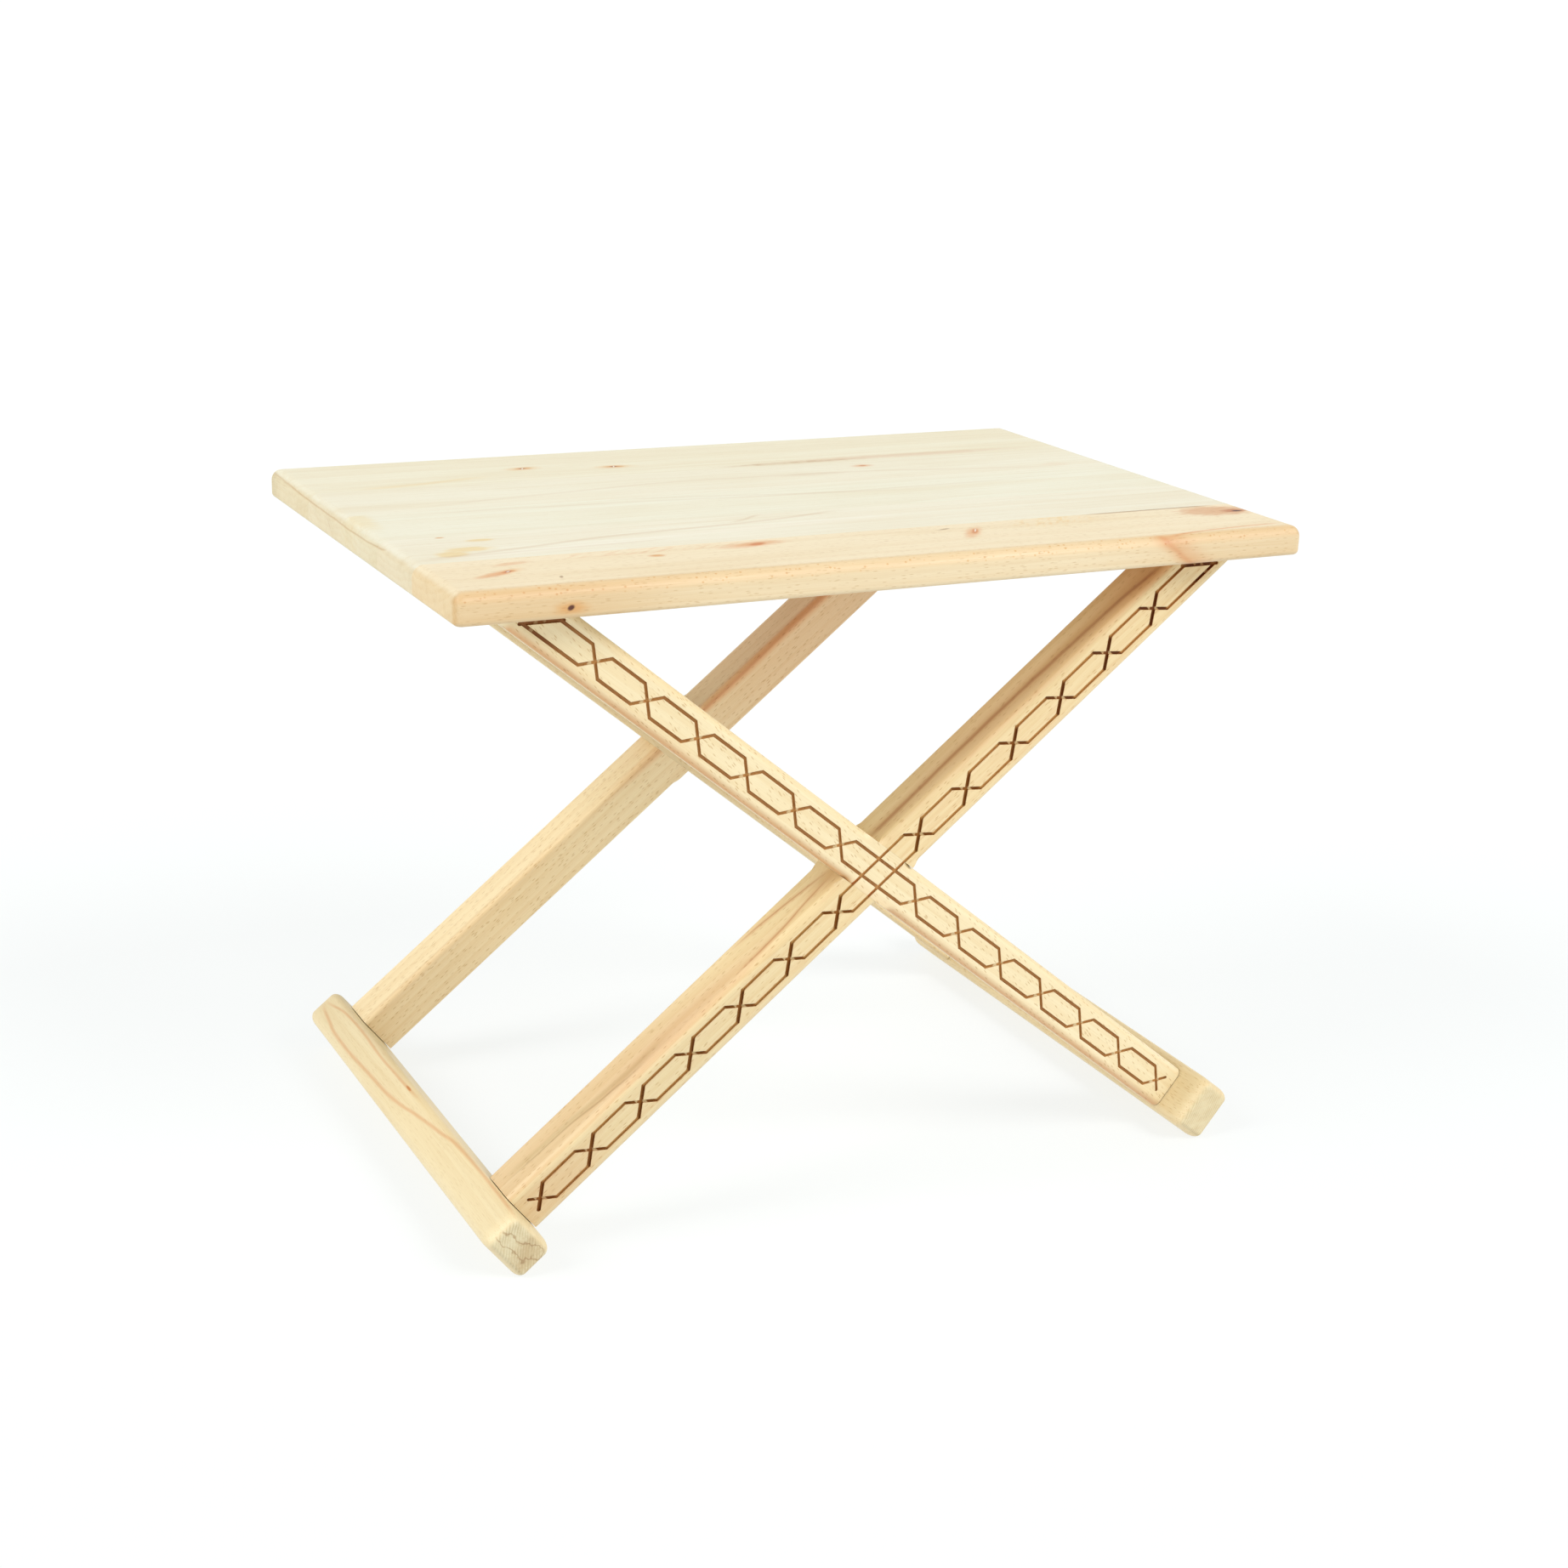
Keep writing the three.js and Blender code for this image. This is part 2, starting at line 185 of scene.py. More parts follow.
def tidy(mesh):
    """Merges points that fell together and turns every face outwards."""
    with editing(mesh) as shape:
        bmesh.ops.remove_doubles(shape, verts=shape.verts, dist=1e-4)
        bmesh.ops.dissolve_degenerate(shape, dist=1e-5, edges=shape.edges)
        bmesh.ops.recalc_face_normals(shape, faces=shape.faces)
    return mesh


def cut_away(mesh, point, outward):
    """Cuts off everything on the outward side of a plane and closes the cut."""
    with editing(mesh) as shape:
        everything = shape.verts[:] + shape.edges[:] + shape.faces[:]
        plane = {"plane_co": point, "plane_no": outward}
        bmesh.ops.bisect_plane(shape, geom=everything, clear_outer=True, dist=1e-5, **plane)
        open_edges = [edge for edge in shape.edges if edge.is_boundary]
        bmesh.ops.holes_fill(shape, edges=open_edges)
        bmesh.ops.recalc_face_normals(shape, faces=shape.faces)
    return mesh


def carve(mesh, cutters):
    """Takes each cutter out of the mesh. The cut faces keep the cutter's material."""
    piece = new_object("carving", mesh)
    for cutter_mesh in cutters:
        cutter = new_object("cutter", cutter_mesh)
        step = piece.modifiers.new("cut", "BOOLEAN")
        step.operation = "DIFFERENCE"
        step.solver = "EXACT"
        step.material_mode = "TRANSFER"
        step.object = cutter
        graph = bpy.context.evaluated_depsgraph_get()
        carved = bpy.data.meshes.new_from_object(piece.evaluated_get(graph))
        piece.modifiers.clear()
        piece.data = carved
        bpy.data.objects.remove(cutter)
    result = piece.data
    bpy.data.objects.remove(piece)
    return result


def finish_piece(name, mesh, node, place=Matrix.Identity(4)):
    """Smooths the mesh, scales it to metres, puts it on the body and hides its CAD node."""
    mesh.transform(Matrix.Scale(MM, 4) @ place)
    mesh.name = name
    mark_smooth(mesh)
    piece = new_object(name, mesh)
    weighted = piece.modifiers.new("even shading", "WEIGHTED_NORMAL")
    weighted.keep_sharp = True
    weighted.weight = FLAT_FACE_WEIGHT
    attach(piece, "root")
    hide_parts(node)
    return piece


def mark_smooth(mesh):
    """Shades the mesh smooth, except across sharp edges."""
    with editing(mesh) as shape:
        for face in shape.faces:
            face.smooth = True
        for edge in shape.edges:
            flat = len(edge.link_faces) == 2 and edge.calc_face_angle(0) < SMOOTH_ANGLE
            edge.smooth = flat


def box_mesh(low, high):
    corners = [
        (x, y, z) for x in (low[0], high[0]) for y in (low[1], high[1]) for z in (low[2], high[2])
    ]
    faces = [(0, 1, 3, 2), (4, 6, 7, 5), (0, 4, 5, 1), (2, 3, 7, 6), (0, 2, 6, 4), (1, 5, 7, 3)]
    return tidy(mesh_from("box", corners, faces))


def rounded_ring(half_width, half_height, radius):
    """Points around a rounded rectangle, anticlockwise."""
    points = []
    centres = [(1, 1), (-1, 1), (-1, -1), (1, -1)]
    for corner, (right, up) in enumerate(centres):
        for step in range(ARC_STEPS + 1):
            angle = (corner + step / ARC_STEPS) * math.pi / 2
            points.append((
                right * (half_width - radius) + radius * math.cos(angle),
                up * (half_height - radius) + radius * math.sin(angle),
            ))
    return points


# ---------------------------------------------------------------- top


def board_mesh():
    """The whole board, rounded generously above and lightly below."""
    middle = (top_low + top_high) / 2
    half = (top_high - top_low) / 2
    levels = []
    for step in range(ARC_STEPS + 1):
        angle = step / ARC_STEPS * math.pi / 2
        inset = TOP_LOWER_RADIUS * (1 - math.sin(angle))
        levels.append((inset, top_low[2] + TOP_LOWER_RADIUS * (1 - math.cos(angle))))
    for step in range(ARC_STEPS + 1):
        angle = step / ARC_STEPS * math.pi / 2
        inset = TOP_UPPER_RADIUS * (1 - math.cos(angle))
        levels.append((inset, top_high[2] - TOP_UPPER_RADIUS * (1 - math.sin(angle))))
    rings = []
    for inset, height in levels:
        radius = max(TOP_CORNER_RADIUS - inset, TOP_LEAST_RADIUS)
        outline = rounded_ring(half[0] - inset, half[1] - inset, radius)
        rings.append([(middle[0] + x, middle[1] + y, height) for x, y in outline])
    return loft("board", rings)


def open_seam_cutter(material):
    """A sliver as thin as a leaf, where the glue has let go near the right end."""
    start, end, half_gap, depth = OPEN_SEAM
    seam = seams[0]
    rings = []
    for step in range(OPEN_SEAM_STEPS + 1):
        share = step / OPEN_SEAM_STEPS
        x = start + (end - start) * share
        half = half_gap * math.sin(math.pi * share) + 0.02
        low, high = top_high[2] - depth, top_high[2] + 1
        corners = [(seam - half, high), (seam + half, high), (seam + half, low), (seam - half, low)]
        rings.append([(x, y, z) for y, z in corners])
    mesh = loft("open_seam", rings)
    mesh.materials.append(material)
    return mesh


def stave_mesh(index, material):
    mesh = board_mesh()
    mesh.materials.append(material)
    if index > 0:
        cut_away(mesh, (0, seams[index - 1] + JOINT_GAP / 2, 0), (0, -1, 0))
    if index < len(STAVES) - 1:
        cut_away(mesh, (0, seams[index] - JOINT_GAP / 2, 0), (0, 1, 0))
    if index < 2:
        mesh = carve(mesh, [open_seam_cutter(material)])
    return mesh


def add_top():
    for index, name in enumerate(STAVES):
        mesh = stave_mesh(index, stave_material(name))
        finish_piece("board_" + name, mesh, name)


# ---------------------------------------------------------------- legs


def leg_place(lean):
    """Where a leg's own frame lies. lean is +1 for the leg that rises to the right."""
    turn = -LEG_ANGLE if lean > 0 else LEG_ANGLE - math.pi
    return Matrix.Translation((0, 0, CROSSING_HEIGHT)) @ Matrix.Rotation(turn, 4, "Y")


def edge_stops(side):
    """Where the router stopped along the edge on one side, above and below the crossing."""
    reach = LEG_WIDTH / 2 + BEARING_RADIUS
    steep = reach * math.tan(LEG_ANGLE)
    shallow = reach / math.tan(LEG_ANGLE)
    return (-shallow, steep) if side > 0 else (-steep, shallow)


def fade_length(radius):
    """How far past its stop the round-over still marks the edge."""
    return math.sqrt((BEARING_RADIUS + radius) ** 2 - BEARING_RADIUS ** 2)


def round_over(distance, side, radius):
    """The rounded edge at one place along the leg, as (inset, depth) from face to side."""
    lower, upper = edge_stops(side)
    past = 0
    if lower < distance < upper:
        past = min(distance - lower, upper - distance)
    least = math.hypot(past, BEARING_RADIUS) - BEARING_RADIUS
    points = []
    for step in range(ARC_STEPS + 1):
        angle = (1 - step / ARC_STEPS) * math.pi / 2
        reach = radius * (1 - math.cos(angle))
        if reach <= least:
            reach = min(least, radius)
            inset = 0
        else:
            inset = math.sqrt((BEARING_RADIUS + reach) ** 2 - past ** 2) - BEARING_RADIUS
        depth = radius - math.sqrt(max(radius ** 2 - (radius - reach) ** 2, 0))
        points.append((inset, depth))
    return points


def leg_stations(bottom, top):
    stations = {bottom, top}
    for side in (-1, 1):
        for radius in (OUTER_EDGE_RADIUS, INNER_EDGE_RADIUS):
            lower, upper = edge_stops(side)
            for step in range(STATIONS_PER_STOP + 1):
                past = fade_length(radius) * step / STATIONS_PER_STOP
                stations.update((lower + past, upper - past))
    return sorted(stations)


def leg_blank():
    """A leg with its edges rounded, before the joints and the grooves are cut."""
    rings = []
    half = LEG_WIDTH / 2
    top = (UNDERSIDE_HEIGHT - CROSSING_HEIGHT) / SLOPE_SIN + LEG_OVERRUN
    for distance in leg_stations(-RAIL_REACH + FOOT_GAP, top):
        ring = []
        outer = {side: round_over(distance, side, OUTER_EDGE_RADIUS) for side in (-1, 1)}
        inner = {side: round_over(distance, side, INNER_EDGE_RADIUS) for side in (-1, 1)}
        for inset, depth in outer[1]:
            ring.append((distance, depth, half - inset))
        for inset, depth in reversed(inner[1]):
            ring.append((distance, LEG_DEPTH - depth, half - inset))
        for inset, depth in inner[-1]:
            ring.append((distance, LEG_DEPTH - depth, inset - half))
        for inset, depth in reversed(outer[-1]):
            ring.append((distance, depth, inset - half))
        rings.append(ring)
    return loft("leg", rings)


def notch_mesh(lean):
    """The other leg's half of the crossing. The falling leg keeps its outer half."""
    half = LEG_WIDTH / 2 + JOINT_GAP
    middle = LEG_DEPTH / 2
    length = LEG_WIDTH * 4
    if lean > 0:
        low, high = (-length, -1, -half), (length, middle + JOINT_GAP, half)
    else:
        low, high = (-length, middle - JOINT_GAP, -half), (length, LEG_DEPTH + 1, half)
    mesh = box_mesh(low, high)
    mesh.transform(leg_place(lean).inverted() @ leg_place(-lean))
    return mesh


def cross_offset(index):
    if index < CROSSES_ABOVE_CENTRE:
        return CROSS_CENTRAL_GAP / 2 + (CROSSES_ABOVE_CENTRE - 1 - index) * CROSS_PITCH
    return -(CROSS_CENTRAL_GAP / 2 + (index - CROSSES_ABOVE_CENTRE) * CROSS_PITCH)


def reach_at_height(height, across, lean):
    return (height - CROSSING_HEIGHT - lean * across * SLOPE_COS) / SLOPE_SIN


def short_cut_width(side, lean):
    return SHORT_CUT_WIDTH if lean > 0 and side > 0 else 1


def zigzag_path(side, lean):
    """One of the two zigzag grooves, which swap sides at each cross to leave hexagons.

    Each point is (distance along the leg, distance across it, share of the usual width).
    """
    lowest = cross_offset(CROSS_COUNT - 1)
    tail_drop = HEXAGON_HALF_HEIGHT * CROSS_TAIL / CROSS_ARM
    path = [(lowest - CROSS_TAIL, -side * tail_drop, short_cut_width(side, lean))]
    for index in reversed(range(CROSS_COUNT)):
        width = short_cut_width(side, lean)
        before = cross_offset(index) - CROSS_ARM
        after = cross_offset(index) + CROSS_ARM
        if index < CROSS_COUNT - 1:
            path.append((before - SHORT_CUT_TAPER, -side * HEXAGON_HALF_HEIGHT, 1))
            path.append((before, -side * HEXAGON_HALF_HEIGHT, width))
        path.append((after, side * HEXAGON_HALF_HEIGHT, width))
        path.append((after + SHORT_CUT_TAPER, side * HEXAGON_HALF_HEIGHT, 1))
        side = -side
    across = -side * HEXAGON_HALF_HEIGHT
    closing_height = UNDERSIDE_HEIGHT - CLOSING_GROOVE_DROP
    path.append((reach_at_height(closing_height, across, lean), across, 1))
    return path


def closing_path(lean):
    half = HEXAGON_HALF_HEIGHT + GROOVE_PROFILE[1][1]
    height = UNDERSIDE_HEIGHT - CLOSING_GROOVE_DROP
    return [(reach_at_height(height, across, lean), across, 1) for across in (-half, half)]


def unit(vector):
    return vector / np.linalg.norm(vector)


def groove_ring(point, across, forward, share, width):
    """The blade's outline at one place. At a round end it narrows and leans forward."""
    left = []
    right = []
    lean = math.sqrt(max(1 - share ** 2, 0))
    for depth, half in GROOVE_PROFILE:
        tip = point + forward * half * lean
        side = across * half * share * width
        left.append((tip[0] + side[0], depth, tip[1] + side[1]))
        right.append((tip[0] - side[0], depth, tip[1] - side[1]))
    return left + right[::-1]


def groove_cutter(path, material):
    """A flat-bottomed blade swept along a path on the carved face: mitred bends, round ends."""
    widths = [point[2] for point in path]
    path = [np.array(point[:2]) for point in path]
    start = unit(path[1] - path[0])
    end = unit(path[-1] - path[-2])
    rings = []
    for share in GROOVE_END_SHARES[::-1]:
        across = np.array([-start[1], start[0]])
        rings.append(groove_ring(path[0], across, -start, share, widths[0]))
    for before, point, after, width in zip(path[:-2], path[1:-1], path[2:], widths[1:-1]):
        arriving = unit(point - before)
        leaving = unit(after - point)
        along = unit(arriving + leaving)
        across = np.array([-along[1], along[0]])
        mitre = 1 / np.dot(across, [-leaving[1], leaving[0]])
        rings.append(groove_ring(point, across, along, 1, mitre * width))
    for share in GROOVE_END_SHARES:
        across = np.array([-end[1], end[0]])
        rings.append(groove_ring(path[-1], across, end, share, widths[-1]))
    mesh = loft("groove", rings)
    mesh.materials.append(material)
    return mesh


def pattern_cutters(lean, material):
    paths = [zigzag_path(1, lean), zigzag_path(-1, lean), closing_path(lean)]
    return [groove_cutter(path, material) for path in paths]


def crossing_cutters(lean, material):
    """The other leg's long grooves, which run straight over this leg at the crossing."""
    turn = leg_place(lean).inverted() @ leg_place(-lean)
    cutters = []
    for across in (-HEXAGON_HALF_HEIGHT, HEXAGON_HALF_HEIGHT):
        reach = CROSS_CENTRAL_GAP / 2 - CROSS_ARM - 1
        path = [(-reach, across, 1), (0, across, 1), (reach, across, 1)]
        cutter = groove_cutter(path, material)
        cutter.transform(turn)
        cutters.append(cutter)
    return cutters


def leg_mesh(lean, wood, groove):
    mesh = leg_blank()
    mesh.materials.append(wood)
    notch = notch_mesh(lean)
    notch.materials.append(wood)
    cutters = [notch] + pattern_cutters(lean, groove)
    if lean < 0:
        cutters += crossing_cutters(lean, groove)
    mesh = carve(mesh, cutters)
    mesh.transform(leg_place(lean))
    cut_away(mesh, (0, 0, UNDERSIDE_HEIGHT - JOINT_GAP), (0, 0, 1))
    return mesh


def frame_place(place):
    """The rear frame is the front frame turned half a turn."""
    turn = 0 if place == "front" else math.pi
    y = -OUTER_FACE if place == "front" else OUTER_FACE
    return Matrix.Translation((0, y, 0)) @ Matrix.Rotation(turn, 4, "Z")


def add_leg(place, name, lean):
    at = frame_place(place) @ leg_place(lean)
    wood = leg_material(f"{place}_{name}", at, lean, False)
    groove = leg_material(f"{place}_{name}", at, lean, True)
    mesh = leg_mesh(lean, wood, groove)
    node = f"{place}_leg_{name}"
    return finish_piece("beech_" + node, mesh, node, frame_place(place))


def add_legs():
    """The rear frame is turned round, so its falling leg is built with the rising lean."""
    add_leg("front", "rising", 1)
    add_leg("front", "falling", -1)
    add_leg("rear", "falling", 1)
    add_leg("rear", "rising", -1)


# ---------------------------------------------------------------- foot rails


def rail_mesh(lean, node):
    low, high = box_mm(node)
    half_length = (high[1] - low[1]) / 2
    stations = []
    for step in range(ARC_STEPS + 1):
        angle = step / ARC_STEPS * math.pi / 2
        inset = RAIL_END_INSET * (1 - math.sin(angle))
        stations.append((inset, -half_length + RAIL_END_LENGTH * (1 - math.cos(angle))))
    stations += [(inset, -y) for inset, y in reversed(stations)]
    rings = []
    for inset, y in stations:
        outline = rounded_ring(
            RAIL_THICKNESS / 2 - inset, RAIL_WIDTH / 2 - inset, RAIL_EDGE_RADIUS - inset
        )
        centre = -RAIL_REACH - RAIL_THICKNESS / 2
        rings.append([(centre + x, y, lean * RAIL_OFFSET + z) for x, z in outline])
    mesh = loft("rail", rings)
    mesh.transform(leg_place(lean))
    return cut_away(mesh, (0, 0, 0), (0, 0, -1))


def add_rails():
    for side, lean in (("left", 1), ("right", -1)):
        node = f"{side}_foot_rail"
        mesh = rail_mesh(lean, node)
        mesh.materials.append(rail_material(side, leg_place(lean)))
        finish_piece("beech_" + node, mesh, node)


def paint_dowels():
    material = dowel_material()
    for name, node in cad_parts.items():
        if "dowel" in name:
            node.data.materials.clear()
            node.data.materials.append(material)


# ---------------------------------------------------------------- arithmetic on surfaces


def connect(tree, value, slot):
    if isinstance(value, Field):
        tree.links.new(value.socket, slot)
    else:
        slot.default_value = value


def add_node(tree, kind, inputs, **settings):
    """Adds a shader node. inputs gives a field or a plain value for each slot, or None."""
    node = tree.nodes.new("ShaderNode" + kind)
    for name, value in settings.items():
        setattr(node, name, value)
    for slot, value in zip(node.inputs, inputs):
        if value is not None:
            connect(tree, value, slot)
    return node


def feed(tree, node, values):
    """Gives the named inputs of a node their fields or plain values."""
    for name, value in values.items():
        connect(tree, value, node.inputs[name])


class Field:
    """A number or a vector that varies over a surface. It takes ordinary arithmetic."""

    def __init__(self, tree, socket):
        self.tree = tree
        self.socket = socket

    def math(self, operation, *others):
        node = add_node(self.tree, "Math", (self, *others), operation=operation)
        return Field(self.tree, node.outputs[0])

    def __add__(self, other):
        return self.math("ADD", other)

    def __sub__(self, other):
        return self.math("SUBTRACT", other)

    def __mul__(self, other):
        return self.math("MULTIPLY", other)

    def __truediv__(self, other):
        return self.math("DIVIDE", other)

    def __abs__(self):
        return self.math("ABSOLUTE")

    def flipped(self):
        """One minus the value."""
        node = add_node(self.tree, "Math", (1, self), operation="SUBTRACT")
        return Field(self.tree, node.outputs[0])

    def power(self, exponent):
        return self.math("POWER", exponent)

    def fraction(self):
        return self.math("FRACT")

    def largest(self, other):
        return self.math("MAXIMUM", other)

    def rise(self, start, end):
        """0 where the value is at start, 1 where it is at end, and a soft step between."""
        node = add_node(self.tree, "MapRange", (self, start, end))
        node.interpolation_type = "SMOOTHSTEP"
        return Field(self.tree, node.outputs["Result"])

    def follow(self, points):
        """A smooth curve through (value, result) points."""
        starts = [point[0] for point in points]
        results = [point[1] for point in points]
        first, last = min(starts), max(starts)
        low, high = min(results), max(results) + 1e-6
        place = (self - first) / (last - first)
        node = add_node(self.tree, "FloatCurve", (None, place))
        curve = node.mapping.curves[0]
        while len(curve.points) < len(points):
            curve.points.new(0.5, 0.5)
        for handle, (value, result) in zip(curve.points, sorted(points)):
            handle.location = ((value - first) / (last - first), (result - low) / (high - low))
        node.mapping.update()
        return Field(self.tree, node.outputs["Value"]) * (high - low) + low


def tint(red, green, blue):
    """A colour on the usual 0 to 255 screen scale, as the shader's linear numbers."""
    values = []
    for part in (red / 255, green / 255, blue / 255):
        values.append(part / 12.92 if part <= 0.04045 else ((part + 0.055) / 1.055) ** 2.4)
    return tuple(values)


# ---------------------------------------------------------------- beech


class Beech:
    """The wood of one piece, in millimetres along the grain, across it and in depth.

    Its colour starts with add_grain, and every mark blends or shades it further.
    """

    def __init__(self, name, origin, axes, seed):
        self.material = bpy.data.materials.new(name)
        self.material.use_nodes = True
        self.tree = self.material.node_tree
        self.seed = seed
        tree = self.tree
        here = Field(tree, add_node(tree, "TexCoord", ()).outputs["Object"])
        start = [value * MM for value in origin]
        shift = add_node(tree, "VectorMath", (here, start), operation="SUBTRACT")
        offset = Field(tree, shift.outputs[0])
        self.along, self.across, self.depth = [
            self.measure(offset, axis, 1 / MM) for axis in axes
        ]
        self.place = self.vector(self.along, self.across, self.depth)
        self.normal = Field(tree, add_node(tree, "NewGeometry", ()).outputs["Normal"])
        self.end = abs(self.facing(axes[0])).rise(0.45, 0.9)
        self.facing_across = self.facing(axes[1])
        self.facing_depth = self.facing(axes[2])
        self.wobble = self.noise(60, 18, 18, detail=2, seed=3.1)
        self.jitter = self.noise(7, 2.2, 2.2, detail=1, seed=8.7)

    def measure(self, vector, axis, scale):
        along_axis = [value * scale for value in axis]
        node = add_node(self.tree, "VectorMath", (vector, along_axis), operation="DOT_PRODUCT")
        return Field(self.tree, node.outputs["Value"])

    def facing(self, direction):
        """How directly the surface faces a direction: 1 straight at it, -1 straight away."""
        return self.measure(self.normal, direction, 1)

    def vector(self, x, y, z):
        return Field(self.tree, add_node(self.tree, "CombineXYZ", (x, y, z)).outputs[0])

    def stretched(self, place, centre, sizes, turn=0.0):
        """The place measured from a centre, turned and divided by a size each way."""
        inputs = (place, centre, (0, 0, turn), sizes)
        node = add_node(self.tree, "Mapping", inputs, vector_type="TEXTURE")
        return Field(self.tree, node.outputs[0])

    def noise(self, length, width, thickness, detail=2.0, seed=0.0, turn=0.0):
        """Soft random variation around zero, of the given size along and across the grain."""
        offset = (self.seed + seed) * 37.7
        centre = (offset * length, offset * width * 0.7, offset * thickness * 0.3)
        place = self.stretched(self.place, centre, (length, width, thickness), turn)
        node = add_node(self.tree, "TexNoise", (place,))
        feed(self.tree, node, {"Scale": 1, "Detail": detail, "Roughness": 0.55})
        return Field(self.tree, node.outputs[0]) - 0.5

    def flecks(self, length, width, share, turn=0.0, seed=0.0):
        """The short dark ray flecks of beech, one spindle in a share of the cells."""
        offset = (self.seed + seed) * 11.3
        centre = (offset * length, offset * width, 0)
        place = self.stretched(self.place, centre, (length, width, width), turn)
        node = add_node(self.tree, "TexVoronoi", (place,))
        feed(self.tree, node, {"Scale": 1})
        cell = Field(self.tree, node.outputs["Color"])
        split = add_node(self.tree, "SeparateXYZ", (cell,))
        chosen = Field(self.tree, split.outputs[0]).rise(1 - share, 1.02 - share * 0.7)
        return Field(self.tree, node.outputs["Distance"]).rise(0.36, 0.12) * chosen

    def rings(self, pith_across, pith_depth, spacing, wander, seed=0.0):
        """Dark late wood at the end of each year, around a pith that lies off the piece."""
        bend = self.noise(260, 70, 70, detail=2, seed=5.5 + seed) * wander
        x = self.across - pith_across + bend
        y = self.depth - pith_depth
        radius = (x * x + y * y).power(0.5)
        year = (radius / spacing + self.noise(200, 9, 9, detail=1, seed=1.3 + seed)).fraction()
        return year.rise(0.15, 0.9) * year.rise(1.0, 0.93)

    def spot(self, plane, centre, sizes, turn=0.0, soft=0.6, rough=0.5):
        """A soft-edged oval patch on a plane of the wood, with an uneven outline."""
        place = self.stretched(plane, (*centre, 0), (*sizes, 1e3), turn)
        node = add_node(self.tree, "VectorMath", (place,), operation="LENGTH")
        reach = Field(self.tree, node.outputs["Value"])
        if rough:
            reach = reach + self.jitter * rough
        return reach.rise(1 + soft / 2, 1 - soft / 2)

    def line(self, along, across, points, width, fade, wander=0.0):
        """A streak that follows a smooth curve and fades out at both of its ends."""
        centre = along.follow(points)
        offset = across - centre
        if wander:
            offset = offset + self.wobble * wander
        starts = [point[0] for point in points]
        first, last = min(starts), max(starts)
        body = abs(offset).rise(width, 0)
        return body * along.rise(first, first + fade) * along.rise(last, last - fade)

    def blend(self, share, other, mode="MIX"):
        """Blends the colour so far with another (r, g, b), fully where share is 1."""
        node = add_node(self.tree, "Mix", (share,), data_type="RGBA", blend_type=mode)
        # The colours of a Mix node go in at 6 and 7 and come out at 2.
        connect(self.tree, self.colour, node.inputs[6])
        connect(self.tree, (*other, 1), node.inputs[7])
        self.colour = Field(self.tree, node.outputs[2])

    def shade(self, share, factor):
        """Multiplies the colour so far by factor (r, g, b) where share is 1."""
        self.blend(share, factor, "MULTIPLY")

    def streak(self, across, points, width, fade, shade, strength=1.0, wander=0.0):
        """Shades a line along the grain. across says which way its points are measured."""
        self.shade(self.line(self.along, across, points, width, fade, wander) * strength, shade)

    def patch(self, plane, centre, sizes, shade, turn=0.0, strength=1.0, soft=1.0, rough=0.8):
        """Shades a soft oval with an uneven outline."""
        self.shade(self.spot(plane, centre, sizes, turn, soft, rough) * strength, shade)

    def dashes(self, plane, centre, sizes, grain, shade, strength):
        """Shades an oval in broken dashes. grain is (length, width, turn) of one dash."""
        length, width, turn = grain
        inside = self.spot(plane, centre, sizes, soft=1.2, rough=0.6)
        broken = self.noise(length, width, width, detail=2, seed=centre[0] / 50, turn=turn)
        self.shade(inside * broken.rise(-0.02, 0.16) * strength, shade)

    def lacquer(self):
        """A thin satin lacquer over the wood, with the grain just felt through it."""
        roughness = self.fibres * 0.1 + 0.5 + self.end * 0.15
        height = self.fibres * -0.5 + self.rays * -0.35 + self.late * 0.3
        bump = add_node(self.tree, "Bump", ())
        relief = {"Strength": GRAIN_BUMP, "Distance": GRAIN_HEIGHT * MM, "Height": height}
        feed(self.tree, bump, relief)
        finish = {
            "Base Color": self.colour,
            "Roughness": roughness,
            "Coat Weight": LACQUER_WEIGHT,
            "Coat Roughness": LACQUER_ROUGHNESS,
            "Normal": Field(self.tree, bump.outputs["Normal"]),
        }
        feed(self.tree, self.tree.nodes["Principled BSDF"], finish)
        return self.material


LACQUER_WEIGHT = 0.16
LACQUER_ROUGHNESS = 0.36
GRAIN_BUMP = 0.35
GRAIN_HEIGHT = 0.12
BAND_STRENGTH = 0.45
FIBRE_STRENGTH = 0.6

FLECK_SHADE = (0.70, 0.56, 0.40)
LATE_WOOD_SHADE = (0.93, 0.86, 0.76)
FIBRE_SHADE = (0.90, 0.84, 0.74)
CLOUD_SHADE = (0.90, 0.82, 0.68)
END_GRAIN_SHADE = (0.90, 0.955, 1.03)
END_RING_SHADE = (0.80, 0.74, 0.66)
CRACK_SHADE = (0.66, 0.54, 0.44)
PORE_SHADE = (0.62, 0.52, 0.40)


class Look:
    """How strongly each feature of the grain shows in one piece."""

    def __init__(self, colour, **changes):
        self.colour = colour
        self.pith = (30, 160)
        self.ring_spacing = 4.5
        self.ring_strength = 0.5
        self.ring_wander = 14
        self.fleck_size = (6.0, 1.15)
        self.fleck_share = 0.8
        self.fleck_strength = 0.8
        self.fleck_turn = 0.0
        self.cloud_strength = 0.35
        self.end_strength = 1.0
        self.end_pith = (150, -150)
        self.end_spacing = 1.5
        self.end_wander = 2.5
        self.end_cracks = 0.0
        for key, value in changes.items():
            setattr(self, key, value)


